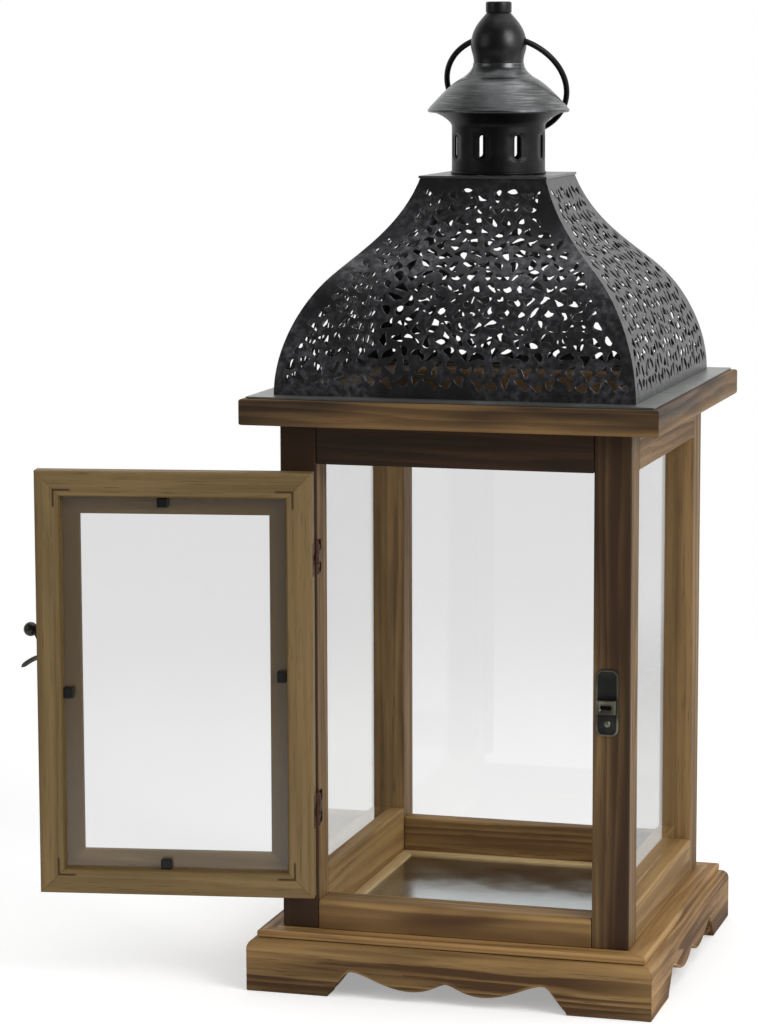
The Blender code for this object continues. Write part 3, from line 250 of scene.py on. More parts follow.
# Paint and rubbed paint as screen colours; then rubbing, gloss and metallic, and how the streaks stretch
paints = {
    "roofPaint": ((62, 62, 64), (132, 132, 136), 0.7, 0.38, 0.9, (4.0, 4.0, 4.0)),
    "platePaint": ((104, 104, 106), (160, 160, 160), 0.5, 0.36, 0.9),
    "neckPaint": ((27, 27, 28), (62, 62, 64), 0.4, 0.4, 0.8),
    "finialPaint": ((44, 44, 45), (98, 98, 99), 0.5, 0.35, 0.85),
    "hatPaint": ((74, 75, 76), (152, 153, 153), 0.7, 0.3, 0.9, (1.0, 1.0, 26.0)),
    "flangePaint": ((132, 135, 132), (168, 170, 166), 0.6, 0.4, 0.9),
    "clipPaint": ((22, 22, 22), (46, 46, 46), 0.3, 0.4, 0.4),
    "keeperBronze": ((92, 90, 78), (176, 176, 158), 0.5, 0.36, 0.9),
    "recessBronze": ((34, 36, 33), (66, 68, 60), 0.4, 0.4, 0.6),
    "bronze": ((62, 62, 56), (140, 142, 128), 0.5, 0.34, 0.9),
    "hingeBronze": ((74, 46, 34), (116, 86, 64), 0.5, 0.42, 0.8),
}
pane = Sizes(low=0.03, high=0.285, edgeTint=(232, 234, 229), lowTint=(236, 236, 236),
             highTint=(224, 224, 225), haze=0.02)


def glassFinish():
    # A film of dust greys the glass from the bottom to the top. Light that falls through isn't stopped by
    # it.
    finish, tree, shader = newFinish("paneGlass", Metallic=0.0, Transmission_Weight=1.0, IOR=1.45)
    place = ownPlace(tree)
    film = noise(tree, place, 14.0)
    height = scaled(tree, film, 0.05, put(tree, "SeparateXYZ", {0: place}).outputs["Z"])
    share = ramped(tree, height, pane.low, pane.high)
    colour = blended(tree, share, tint(*pane.lowTint), tint(*pane.highTint))
    aside = ramped(tree, put(tree, "LayerWeight").outputs["Facing"], 0.3, 0.8)
    path = put(tree, "LightPath").outputs
    falling = sums(tree, "ADD", path["Is Shadow Ray"], path["Is Diffuse Ray"], clamp=True)
    feed(tree, shader, {"Roughness": ramped(tree, film, 0.3, 0.75, 0.0, pane.haze),
                        "Base Color": blended(tree, aside, colour, tint(*pane.edgeTint), "MULTIPLY"),
                        "Alpha": scaled(tree, falling, -0.92, 1.0)})
    return finish


def mirrorFinish():
    finish, tree, shader = newFinish("plateMirror", Metallic=1.0)
    haze = noise(tree, ownPlace(tree), 40.0, 3.0)
    feed(tree, shader, {"Roughness": ramped(tree, haze, 0.3, 0.75, 0.14, 0.24),
                        "Base Color": blended(tree, haze, tint(176, 186, 188), tint(208, 214, 214))})
    return finish


finishes = {key: woodFinish(f"{key}Wood", *values) for key, values in woods.items()}
finishes.update({key: paintFinish(key, *values) for key, values in paints.items()})
finishes.update(glass=glassFinish(), mirror=mirrorFinish())
print("finishes made,", len(finishes))


# Surfaces worked out with numpy


def bezier(p0, p1, p2, p3, steps):
    # The sum of the four points with the weights of a cubic curve, at even steps from 0 to 1.
    t = np.linspace(0, 1, steps + 1)[:, None]
    p0, p1, p2, p3 = np.array((p0, p1, p2, p3), float)
    return (1 - t) ** 3 * p0 + 3 * t * (1 - t) ** 2 * p1 + 3 * t**2 * (1 - t) * p2 + t**3 * p3


def chain(*curves):  # curves end to end, without the repeated points
    return np.concatenate([curves[0]] + [curve[1:] for curve in curves[1:]])


def rounded(centre, radius, start, end, steps):
    # centre + radius (cos a, sin a), with a going from start to end in degrees.
    angle = np.radians(np.linspace(start, end, steps + 1))
    return np.asarray(centre) + radius * np.stack((np.cos(angle), np.sin(angle)), -1)


def rectangle(left, bottom, right, top):
    return (left, bottom), (right, bottom), (right, top), (left, top)


def unit(vectors):
    return vectors / np.linalg.norm(vectors, axis=-1, keepdims=True)


def lengthAlong(curve):
    return np.concatenate(([0], np.cumsum(np.linalg.norm(np.diff(curve, axis=0), axis=1))))


def evenly(curve, count):  # the curve again as count pieces of one length
    length = lengthAlong(curve)
    steps = np.linspace(0, length[-1], count + 1)
    return np.stack([np.interp(steps, length, curve[:, k]) for k in range(curve.shape[1])], -1)


def gridFaces(rows, columns, wrap=True):  # quads between neighbouring rows and columns
    row, column = np.meshgrid(np.arange(rows - 1), np.arange(columns - (not wrap)), indexing="ij")
    here = row * columns + column
    beside = row * columns + (column + 1) % columns
    return np.stack((here, beside, beside + columns, here + columns), -1).reshape(-1, 4)


def loftFaces(rows, columns):  # the quads, and one face over each end
    ends = np.arange(columns)
    return [*gridFaces(rows, columns), ends, ends[::-1] + (rows - 1) * columns]


weldDistance = 2e-6


def newObject(name, data):
    item = bpy.data.objects.new(name, data)
    bpy.context.scene.collection.objects.link(item)
    return item


def makePiece(node, points, faces, finish, marks=None, body="lantern", name=None, crease=40.0, closed=True):
    # The piece stands for the node and takes its name from it: skirt_front becomes skirtFront.
    words = (node or "").split("_")
    name = name or words[0] + "".join(map(str.title, words[1:]))
    mesh = bpy.data.meshes.new(name)
    mesh.from_pydata(np.asarray(points).reshape(-1, 3).tolist(), [], [list(map(int, face)) for face in faces])
    for key, values in (marks or {}).items():
        values = np.asarray(values, np.float32)
        kind, field = ("FLOAT_VECTOR", "vector") if values.shape[-1] == 3 else ("FLOAT", "value")
        mesh.attributes.new(key, kind, "POINT").data.foreach_set(field, values.ravel())
    shell = bmesh.new()
    shell.from_mesh(mesh)
    bmesh.ops.remove_doubles(shell, verts=shell.verts, dist=weldDistance)
    bmesh.ops.dissolve_degenerate(shell, edges=shell.edges, dist=weldDistance / 20)
    if closed and shell.calc_volume(signed=True) < 0:  # a shell with its faces inwards is turned
        bmesh.ops.reverse_faces(shell, faces=shell.faces)
    shell.to_mesh(mesh)
    shell.free()
    mesh.shade_smooth()
    mesh.set_sharp_from_angle(angle=math.radians(crease))
    mesh.materials.append(finishes[finish])
    item = newObject(name, mesh)
    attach(item, body)
    if node:
        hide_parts(node)
    return item


def faceValues(item, label):  # the normal or the centre of every face
    values = np.zeros(3 * len(item.data.polygons))
    item.data.polygons.foreach_get(label, values)
    return values.reshape(-1, 3)


def turnedShell(profile, steps, centre=(0.0, 0.0, 0.0), axis=2, hollow=False):
    # (radius cos a, radius sin a, along) for every point of the profile and every angle a round the axis 0,
    # 1 or 2. A hollow shell's last loop joins its first.
    angle = np.linspace(0, 2 * np.pi, steps, endpoint=False)
    radius, along = profile[:, 0, None], profile[:, 1, None]
    points = np.stack((radius * np.cos(angle), radius * np.sin(angle), along + 0 * angle), -1)
    faces = gridFaces(len(profile) + hollow, steps) % (len(profile) * steps)
    return np.roll(points, axis + 1, -1) + np.asarray(centre), faces


def welded(shells):
    # Several closed shells as one set of points and faces. A shell whose volume, a sixth of the sum of
    # p0 . (p1 x p2), is below zero is turned.
    points, faces, offset = [], [], 0
    for some, someFaces in shells:
        some = np.asarray(some, float).reshape(-1, 3)
        volume = sum(some[face[0]] @ np.cross(some[face[1:-1]], some[face[2:]]).sum(0) for face in someFaces)
        faces += [(face if volume > 0 else face[::-1]) + offset for face in someFaces]
        points.append(some)
        offset += len(some)
    return np.concatenate(points), faces


def cutOut(item, label, points, faces, body="lantern"):  # a hidden solid that is taken out of the item
    cutter = makePiece(None, points, faces, "bronze", body=body, name=label)
    cutter.hide_render = cutter.hide_viewport = True
    cut = item.modifiers.new(label, "BOOLEAN")
    cut.operation, cut.object, cut.solver = "DIFFERENCE", cutter, "EXACT"


def easedSection(corners, radius, support=0.0015, steps=3):
    # Each corner becomes corner + r (1 - sin q) toPrevious + r (1 - cos q) toNext, with a point further
    # along on each side.
    corners = np.asarray(corners, float)
    spread = lambda value: np.broadcast_to(np.array(value, float), len(corners))[:, None]
    radius, support = spread(radius), spread(support)
    back, onward = unit(np.roll(corners, 1, 0) - corners), unit(np.roll(corners, -1, 0) - corners)
    q = np.linspace(0, np.pi / 2, steps + 1)[None, :, None]
    bend = radius[:, None] * (back[:, None] * (1 - np.sin(q)) + onward[:, None] * (1 - np.cos(q)))
    first, last = corners + back * (radius + support), corners + onward * (radius + support)
    points = np.concatenate((first[:, None], corners[:, None] + bend, last[:, None]), 1).reshape(-1, 2)
    return points, np.tile(np.concatenate(([0.0], np.ones(steps + 1), [0.0])), len(corners))


def drawnIn(section, depth):
    # Every point moved inwards by depth along the mean normal of its two sides.
    side = np.roll(section, -1, 0) - section
    normal = unit(np.stack((side[:, 1], -side[:, 0]), -1))
    mean = unit(normal + np.roll(normal, 1, 0))
    x, y = section.T
    turnsLeft = np.sum(x * np.roll(y, -1) - np.roll(x, -1) * y) > 0
    return section - depth * mean * (1 if turnsLeft else -1)


grainSeed = np.random.default_rng(41)


def endFaces(count, hollow):  # one face over a section's end, or a strip of them where it is a bent channel
    if not hollow:
        return np.arange(count)[None]
    i = np.arange(count // 2 - 1)
    return np.stack((i, i + 1, count - 2 - i, count - 1 - i), -1)


def board(section, edge, start, end, axes, origin=(0, 0, 0), mitre=0.0, easing=0.0004, stations=(), lift=None,
          toast=None, hollow=False):
    # (along, across, depth) placed on three axes. The ends run back by mitre times across, and are drawn in
    # by the easing. The marks are the place in the wood, the place on the board, the arrises and the
    # toasted parts together with the painted shade.
    inner = drawnIn(section, easing)
    low = lambda shape: start + mitre * shape[:, 0]
    high = lambda shape: end - mitre * shape[:, 0]
    stops = [(inner, low(inner), 1.0), (section, low(section) + easing, 0.6)]
    for station in stations:
        stops.append((section, np.clip(station, low(section) + 2 * easing, high(section) - 2 * easing), 0.0))
    stops += [(section, high(section) - easing, 0.6), (inner, high(inner), 1.0)]
    rows = []
    for shape, along, _ in stops:
        across, depth = shape.T
        rows.append(np.stack((along, across, depth if lift is None else depth + lift(along, depth)), -1))
    local = np.array(rows)
    count = len(section)
    ends = endFaces(count, hollow)
    faces = [*gridFaces(len(rows), count), *ends, *(ends[:, ::-1] + (len(rows) - 1) * count)]
    fromEnd = np.minimum(local[..., 0] - start, end - local[..., 0])
    heat = np.zeros(local.shape[:2]) if toast is None else toast(*np.moveaxis(local, -1, 0))
    marks = {
        "grainPlace": (local + grainSeed.uniform(-3, 3, 3)).reshape(-1, 3),
        "boardPlace": np.stack((local[..., 2], local[..., 1], fromEnd), -1).reshape(-1, 3),
        "arris": np.array([np.maximum(edge, share) for *_, share in stops]).ravel(),
        "toast": heat.ravel(),
    }
    return (np.asarray(origin) + local @ np.asarray(axes, float)).reshape(-1, 3), faces, marks


def turnedRound(points, degrees, centre=(0.0, 0.0)):  # points turned about an upright axis through centre
    a = math.radians(degrees)
    turn = np.array(((math.cos(a), -math.sin(a)), (math.sin(a), math.cos(a))))
    result = np.array(points, float)
    result[..., :2] = (result[..., :2] - centre) @ turn.T + centre
    return result


sides = ("front", "right", "back", "left")
alongX = ((1, 0, 0), (0, 1, 0), (0, 0, 1))  # along x, across y, depth z
upright = ((0, 0, 1), (1, 0, 0), (0, 1, 0))  # along z, across x, depth y


def boardPiece(node, finish, turn, *place, **rest):  # a board of the front, turned on by quarter turns
    points, faces, marks = board(*place, **rest)
    makePiece(node, turnedRound(points, 90 * turn), faces, finish, marks)


def mitredTop(node, finish, hole, radii, support, toastsAndShades):
    # Four mitred boards as one piece, round a square hole of that half width.
    low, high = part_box(node)
    section, edge = easedSection(rectangle(0, low.z, high.x - hole, high.z), radii, support)
    points, faces, marks = [], [], []
    for turn, toast in enumerate(toastsAndShades):
        some, someFaces, someMarks = board(section, edge, low.x, high.x, alongX, (0, low.y, 0), 1.0, 0.0002,
                                           toast=toast)
        faces += [face + turn * len(some) for face in someFaces]
        points.append(turnedRound(some, 90 * turn))
        marks.append(someMarks)
    marks = {key: np.concatenate([some[key] for some in marks]) for key in marks[0]}
    makePiece(node, np.concatenate(points), faces, finish, marks)


# Base

base = Sizes(half=0.1285, table=-0.0401, top=-0.0071, thickness=0.016, arris=0.006, footInner=0.076,
             footLean=0.0105, peak=0.0165, lobe=0.0068, cusp=0.0132, plinthEasing=0.0012, plinthHole=0.0002,
             skirtToast=0.14, plinthToast=0.9)


def apronCurve():
    # Half of the lower edge, foot to middle: a lean up to the peak, down to the lobe and up to the cusp.
    b = base
    shoulder, lobeX = b.footInner - b.footLean, 0.3 * b.footInner
    rise = bezier((0.99 * b.footInner, 0.1 * b.peak), (shoulder + 0.1 * b.footLean, 0.64 * b.peak),
                  (shoulder, b.peak), (shoulder - b.peak / 3, b.peak), 14)
    fall = bezier(rise[-1], (shoulder - 0.9 * b.peak, 0.94 * b.peak), (1.7 * lobeX, b.lobe),
                  (lobeX, b.lobe), 18)
    climb = bezier(fall[-1], (0.47 * lobeX, b.lobe), (0.26 * lobeX, 0.92 * b.cusp), (0.0, b.cusp), 12)
    return chain(np.vstack(((b.footInner, 0.0), rise)), fall, climb)


def makeBase():
    b = base
    curve = apronCurve()[::-1]
    stations = np.concatenate((-curve[::-1, 0], curve[1:, 0]))
    middle = (b.table + b.top) / 2 + 0.004
    corners = ((0, b.table), (0, b.top), (b.thickness, b.top), (b.thickness, b.table))
    section, edge = easedSection(corners, (0.0009, b.arris, 0.0008, 0.0008), 0.0012, 5)

    def lift(along, depth):  # only the board's lower half follows the curve
        return np.where(depth < middle, np.interp(np.abs(along), curve[:, 0], curve[:, 1]), 0.0)

    # The front skirt is darkened all over: torching, and painted shade since the front faces away from the
    # light
    def skirtToast(along, across, depth):
        return 0 * along + b.skirtToast

    # A painted shadow on the front edge of the plinth board
    def plinthToast(along, across, depth):
        return (across < 0.0003) * b.plinthToast

    for turn, side in enumerate(sides):
        boardPiece(f"skirt_{side}", "base" if turn else "frontBase", turn, section, edge, -b.half, b.half,
                   alongX, (0, -b.half, 0), 1.0, 0.0003, stations, lift, None if turn else skirtToast)
    radii = (b.plinthEasing, 0.0001, 0.0001, b.plinthEasing)
    mitredTop("plinth_board", "base", b.plinthHole, radii, 0.001, (plinthToast, None, None, None))


makeBase()
print("base made")


# Floor plate beads, posts, headers, rails and cap

body = Sizes(postEasing=0.0011, headerEasing=0.0006, railEasing=0.0004, frontRailArris=0.0025,
             ledgeDrop=0.009, ledgeDepth=0.012, beadEasing=0.001, capEasing=0.0014, capHole=0.080,
             frontRightToast=(0.5, 0.72), frontLeftToast=(1.0, 0.8), backToast=(0.0, 0.2),
             toastDepth=0.0035, railToast=(0.8, 0.12), capToast=(0.4, 0.5), holeToast=1.0)


def makePosts():
    for place in ("front_left", "front_right", "back_left", "back_right"):
        low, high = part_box(f"post_{place}")
        front, right = place.startswith("front"), place.endswith("right")
        heat = body.backToast if not front else body.frontRightToast if right else body.frontLeftToast

        def toast(along, across, depth):  # torching and painted shade, strongest on the front face, more towards the outer side
            outward = (across - low.x if right else high.x - across) / (high.x - low.x)
            near = np.clip(1 - (depth - low.y) / body.toastDepth, 0, 1)
            return near * (heat[0] + (heat[1] - heat[0]) * outward)

        section, edge = easedSection(rectangle(low.x, low.y, high.x, high.y), body.postEasing)
        boardPiece(f"post_{place}", "frontPost" if front else "post", 0, section, edge, low.z, high.z,
                   upright, easing=0.0005, toast=toast)


def makeRails():
    low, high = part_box("rail_front")
    bottom, face, inner, e = low.z, low.y, high.y, body.railEasing
    for turn, side in enumerate(sides):
        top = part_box(f"rail_{side}")[1].z
        corners, radii = rectangle(face, bottom, inner, top), (e, e, 0.001, body.frontRailArris)
        if turn:  # an inner lip and an outer ledge for the pane
            lip, ledge = face + body.ledgeDepth, top - body.ledgeDrop
            corners = (*corners[:3], (lip, top), (lip, ledge), (face, ledge))
            radii = (e, e, 0.001, 0.0008, e, 0.0012)

        def toast(along, across, depth):  # painted shade with toast on the front rail's face towards its foot, and toast on the whole back rail
            onFace, everywhere = body.railToast
            towardsFoot = np.clip((top - depth) / 0.005, 0, 1)
            faceToastAndShade = onFace * (side == "front") * towardsFoot * (across < face + 0.001)
            return faceToastAndShade + everywhere * (side == "back")

        section, edge = easedSection(corners, radii)
        boardPiece(f"rail_{side}", "rail", turn, section, edge, low.x, high.x, alongX, toast=toast)


def makeBody():
    makePosts()
    low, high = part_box("header_front")
    section, edge = easedSection(rectangle(low.y, low.z, high.y, high.z), body.headerEasing)
    for turn, side in enumerate(sides):
        boardPiece(f"header_{side}", "sideHeader" if turn else "header", turn, section, edge, low.x, high.x,
                   alongX)
    makeRails()
    low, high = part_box("floor_bead_front")
    corners = rectangle(0, low.z, high.y - low.y, high.z)
    section, edge = easedSection(corners, (0.0003, 0.0003, body.beadEasing, 0.0003), 0.0005)
    for turn, side in enumerate(sides):
        boardPiece(f"floor_bead_{side}", "bead", turn, section, edge, low.x, high.x, alongX,
                   (0, low.y, 0), 1.0, 0.0002)
    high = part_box("cap_board")[1]
    width = high.x - body.capHole

    def toast(along, across, depth):  # the edge, more on its lower part, as toast with painted shade (the flange's shadow along its top), and painted shade round the hole under the roof
        upper, lower = body.capToast
        lowDown = np.clip((high.z - 0.005 - depth) / 0.006, 0, 1)
        edgeToastAndShadow = (across < 0.004) * (upper + (lower - upper) * lowDown)
        return np.maximum(edgeToastAndShadow, body.holeToast * np.clip((across - width + 0.006) / 0.003, 0, 1))

    radii = (body.capEasing, 0.0006, 0.0006, body.capEasing)
    mitredTop("cap_board", "cap", body.capHole, radii, 0.0015, [toast] * 4)


makeBody()
print("body made")


# Door

door = Sizes(hinge=(-0.0865, -0.1125), open=170.0, left=-0.086, right=0.0858, bottom=0.0209, top=0.2861,
             front=-0.110, thickness=0.012, stile=0.027, rebateWidth=0.011, rebateDepth=0.0065,
             easing=0.001, ledgeToast=1.15, lineWidth=0.0008, lineToast=1.5)


def onDoor(points):  # from the closed door to the door as it stands
    return turnedRound(points, -door.open, door.hinge)


def makeDoor():
    d = door
    lip, step = d.thickness - d.rebateDepth, d.stile - d.rebateWidth
    corners = ((0, 0), (d.stile, 0), (d.stile, lip), (step, lip), (step, d.thickness), (0, d.thickness))
    radii = (d.easing, d.easing, 0.0005, 0.0003, 0.0004, d.easing)
    section, edge = easedSection(corners, radii, (0.0012, 0.0012, 0.0012, 0.0003, d.lineWidth, 0.0012))
    width, height = d.right - d.left, d.top - d.bottom
    middleX, middleZ = (d.left + d.right) / 2, (d.bottom + d.top) / 2
    # length, x and z, along, across (inwards), way up and how much lighter the ledge's stain and painted shade
    # is, on the closed door
    members = {
        "door_rail_bottom": (width, (middleX, d.bottom), (1, 0, 0), (0, 0, 1), 0, 0.85),
        "door_rail_top": (width, (middleX, d.top), (-1, 0, 0), (0, 0, -1), 0, 0.45),
        "door_stile_hinge": (height, (d.left, middleZ), (0, 0, -1), (1, 0, 0), -1, 0.0),
        "door_stile_latch": (height, (d.right, middleZ), (0, 0, 1), (-1, 0, 0), 1, 0.0),
    }
    for node, (length, (x, z), along, across, upward, ledgeLightness) in members.items():

        def toast(alongBoard, acrossBoard, depth):  # the rebate's ledge darkened by stain and painted shade, lighter near the bottom
            ledge = (depth < lip + 0.0004) & (acrossBoard > step + 0.0002)
            # A painted shadow line along the step of the rebate
            line = (depth > lip + 0.0004) & (acrossBoard > step - 0.9 * d.lineWidth)
            low = (upward != 0) * np.clip(-upward * alongBoard / height - 0.28, 0, 0.22) * 3.6
            return np.where(ledge, d.ledgeToast - (ledgeLightness + low), 0.0) + d.lineToast * line

        stations = np.linspace(-0.45, 0.45, 9) * length
        points, faces, marks = board(section, edge, -length / 2, length / 2, (along, across, (0, 1, 0)),
                                     (x, d.front, z), 1.0, 0.0002, stations, toast=toast)
        makePiece(node, onDoor(points), faces, "door", marks, "door")


makeDoor()
print("door made")


# Pierced sheets


def squareBorder(side):  # points round a square of size 1, from its lower left corner
    s, half = np.arange(side) / side - 0.5, np.full(side, 0.5)
    return np.concatenate([np.stack(pair, -1) for pair in ((s, -half), (half, s), (-s, half), (-half, -s))])


def sheetCells(columns, edges, width, shift=0.0):
    # Column, row, centre and size of every cell. Every second row is moved along by the shift.
    column, row = (index.ravel() for index in np.meshgrid(columns, np.arange(len(edges) - 1), indexing="ij"))
    centre = np.stack(((column + shift * (row % 2)) * width, (edges[row] + edges[row + 1]) / 2), -1)
    return column, row, centre, np.stack((np.full(len(row), width), edges[row + 1] - edges[row]), -1)


def piercedSheet(centre, cell, pierced, plain, holes, fractions, sinks, side):
    # A pierced cell is loops at hole + fraction (border - hole), each sunk by its own share, and a plain
    # one is an even grid. Gives the flat points, how far each is sunk, and the faces.
    around, share = 4 * side, np.array(fractions)[None, :, None, None]
    border = squareBorder(side)[None] * cell[pierced][:, None]
    loops = holes[:, None] + share * (border[:, None] - holes[:, None]) + centre[pierced][:, None, None]
    step = np.arange(side + 1) / side - 0.5
    grid = np.stack(np.meshgrid(step, step, indexing="xy"), -1).reshape(-1, 2)[None] * cell[plain][:, None]
    grid = grid + centre[plain][:, None]
    sunk = np.broadcast_to(np.array(sinks)[None, :, None], loops.shape[:3]).ravel()
    loopStart = (np.arange(len(loops)) * len(sinks) * around)[:, None, None]
    gridStart = (np.arange(len(grid)) * (side + 1) ** 2)[:, None, None] + loops.size // 2
    faces = np.concatenate(((gridFaces(len(sinks), around)[None] + loopStart).reshape(-1, 4)[:, ::-1],
                            (gridFaces(side + 1, side + 1, wrap=False)[None] + gridStart).reshape(-1, 4)))
    return (np.concatenate((loops.reshape(-1, 2), grid.reshape(-1, 2))),
            np.concatenate((sunk, np.zeros(grid.size // 2))), faces)


def sheetPiece(node, points, faces, finish, thickness, flat=False):
    # An open sheet whose faces look away from the upright axis and whose thickness lies inside.
    item = makePiece(node, points, faces, finish, closed=False)
    if flat:
        item.data.shade_flat()
    if (faceValues(item, "normal") * faceValues(item, "center") * (1.0, 1.0, 0.0)).sum() < 0:
        item.data.flip_normals()
    wall = item.modifiers.new("Sheet", "SOLIDIFY")
    wall.thickness, wall.offset = thickness, -1.0


roof = Sizes(foot=0.33184, height=0.12952, footHalf=0.1128, topHalf=0.040, bendHalf=0.085,
             bendHeight=0.0705, bendSlope=1.03, bendPull=0.021, topReach=0.010, topDrop=0.030, sheet=0.0008,
             cellWidth=0.0093, rows=16, bottomMargin=0.0052, topMargin=0.0062, cornerMargin=0.0046,
             leafLength=0.0049, leafWidth=0.00235, bridge=0.0006, stray=0.0016, shortStray=0.0008,
             dip=0.0002, side=6)
# Leaves repeat every three columns and four rows: their turns in degrees, bends, heads and sizes
leaves = Sizes(turns=((22, 100, 152), (70, 128, 8), (112, 38, 84), (158, 12, 124)),
               bends=((1.1, -0.9, 1.2), (-1.2, 0.9, 1.0), (0.8, 1.2, -1.1), (1.1, -1.0, 0.9)),
               heads=((0.3, 0.5, 0.1), (0.5, 0.2, 0.4), (0.1, 0.4, 0.5), (0.4, 0.2, 0.3)),
               sizes=((1.0, 0.88, 0.96), (0.86, 1.0, 0.93), (0.97, 0.9, 1.0), (0.93, 1.0, 0.86)))


def ogeeCurve():
    # Half width and height of the roof: a bulge from the foot to the bend and a hollow from there to the
    # top.
    r = roof
    bend, pull = np.array((r.bendHalf, r.bendHeight)), r.bendPull * unit(np.array((-1.0, r.bendSlope)))
    lower = bezier((r.footHalf, 0), (r.footHalf, 0.4 * r.bendHeight), bend - pull, bend, 80)
    upper = bezier(bend, bend + pull, (r.topHalf + r.topReach, r.height - r.topDrop),
                   (r.topHalf, r.height), 80)
    return chain(lower, upper)


def leafHoles(angle, bend, head, cell):
    # x = a cos t, y = b sin t (1 + head cos t) + bend b ((x / a)^2 - 0.4), turned by the leaf's angle,
    # and drawn in until a bridge of metal is left on every side of the cell.
    border = squareBorder(roof.side)
    t = np.arctan2(border[:, 1], border[:, 0])[None] - angle[:, None]
    a, b = roof.leafLength, roof.leafWidth
    x = a * np.cos(t)
    y = b * np.sin(t) * (1 + head[:, None] * np.cos(t)) + bend[:, None] * b * ((x / a) ** 2 - 0.4)
    c, s = np.cos(angle)[:, None], np.sin(angle)[:, None]
    leaf = np.stack((c * x - s * y, s * x + c * y), -1)
    low, high = leaf.min(1), leaf.max(1)
    leaf -= ((low + high) / 2)[:, None]
    fit = np.minimum(1.0, (cell - 2 * roof.bridge) / (high - low))
    return leaf * (0.5 * fit + 0.5 * fit.min(1, keepdims=True))[:, None]


def makeRoof():
    r, curve = roof, ogeeCurve()
    length = lengthAlong(curve)
    total = length[-1]
    rowHeight = (total - r.bottomMargin - r.topMargin) / r.rows
    edges = np.concatenate(([0], r.bottomMargin + rowHeight * np.arange(r.rows + 1), [total]))
    columns = math.ceil(r.footHalf / r.cellWidth) + 1
    column, row, centre, cell = sheetCells(np.arange(-columns, columns + 1), edges, r.cellWidth, 0.5)
    narrow = np.interp(centre[:, 1] + cell[:, 1] / 2, length, curve[:, 0])
    reach = np.abs(centre[:, 0]) - cell[:, 0] / 2
    room = np.clip(narrow - r.cornerMargin - reach, 0, cell[:, 0])
    pierced = (room > 0.5 * cell[:, 0]) & (row > 0) & (row < len(edges) - 2)
    plain = (reach < narrow + r.cellWidth / 2) & ~pierced

    # Where a corner comes close, a leaf is narrowed and moved inwards
    flip = np.where((row // 4) % 2 == 0, 1, -1)
    turns, bends, heads, sizes = (np.array(values)[row % 4, column % 3][pierced] for values in leaves.values())
    flip = flip[pierced]
    holes = leafHoles(np.radians(turns) * flip, bends * flip, heads, cell[pierced])
    holes *= sizes[:, None, None]
    shift = (np.sign(centre[:, 0]) * (cell[:, 0] - room) / 2)[pierced]
    holes[..., 0] = holes[..., 0] * (room / cell[:, 0])[pierced][:, None] - shift[:, None]
    flat, sunk, faces = piercedSheet(centre, cell, pierced, plain, holes, (0.0, 0.2, 1.0), (1.0, 0.0, 0.0),
                                     r.side)

    # The rows stray from straight lines by sines of x and s, a long and a short one, which fade towards the
    # edges
    inCorner = np.interp(flat[:, 1], length, curve[:, 0]) - np.abs(flat[:, 0])
    inward = np.minimum(np.minimum(flat[:, 1], total - flat[:, 1]), inCorner)
    quiet = np.clip(inward / 0.012, 0, 1)[:, None]
    x, s = 2 * np.pi * flat.T / (3 * r.cellWidth)
    flat = flat + r.stray * quiet * np.stack((np.sin(s + 0.7), np.sin(0.87 * x + 0.31 * s)), -1)
    flat = flat + r.shortStray * quiet * np.stack((np.sin(2.3 * s - 1.4 * x), np.sin(2.3 * x + 1.2 * s)), -1)
    along = np.clip(flat[:, 1], 0, total)
    slope = np.gradient(curve, length, axis=0)
    half, height, lean, rise = (np.interp(along, length, line) for line in (*curve.T, *slope.T))
    faces = faces[~(np.abs(flat[:, 0]) >= half)[faces].all(1)]  # faces wholly past a corner are left out
    dip = r.dip * sunk
    across = np.clip(flat[:, 0], -half, half)
    points = np.stack((across, -half + dip * rise, r.foot + height + dip * lean), -1)
    for turn, side in enumerate(sides):
        turned = turnedRound(points, 90 * turn)
        sheetPiece(f"roof_panel_{side}", turned, faces, "roofPaint", r.sheet, flat=True)


makeRoof()
print("roof made")


# Chimney: neck, hat, finial and ring

neck = Sizes(bottom=0.4632, top=0.501, radius=0.0293, flareRadius=0.0395, flareHeight=0.0085, slots=8,
             slotTurn=-6.5, slotWidth=0.0042, slotHeight=0.015, sill=0.0095, slotMargin=0.0028, wall=0.0011,
             press=0.0004, footBead=0.0008, side=12)
# The rim is 0.2 mm inside the solid's, so that the ring, rounder here than its solid, clears it where it
# leans.
hat = Sizes(bottom=0.5013, rim=0.0445, rimHeight=0.0025, hem=0.011, coneHeight=0.0193, coneTop=0.0222,
            collar=0.0160, collarHeight=0.0090, crown=0.0006, wall=0.0012)
finial = Sizes(foot=0.0156, bulb=0.0174, height=0.0305, waist=0.0105, knob=0.0081, knobHeight=0.0070,
               knobEasing=0.0012, wall=0.0012)
ring = Sizes(radius=0.0385, wire=0.00185, lean=36.9, hole=0.0026, above=0.0025, around=128, across=16)


def slotOutline(width, height, count):
    # A slot with round ends as count points at even distances, from its lower left shoulder to the right.
    w, d = width / 2, (height - width) / 2
    outline = np.concatenate((rounded((0, -d), w, 180, 360, 24), rounded((0, d), w, 0, 180, 24), ((-w, -d),)))
    return evenly(outline, count)[:-1]


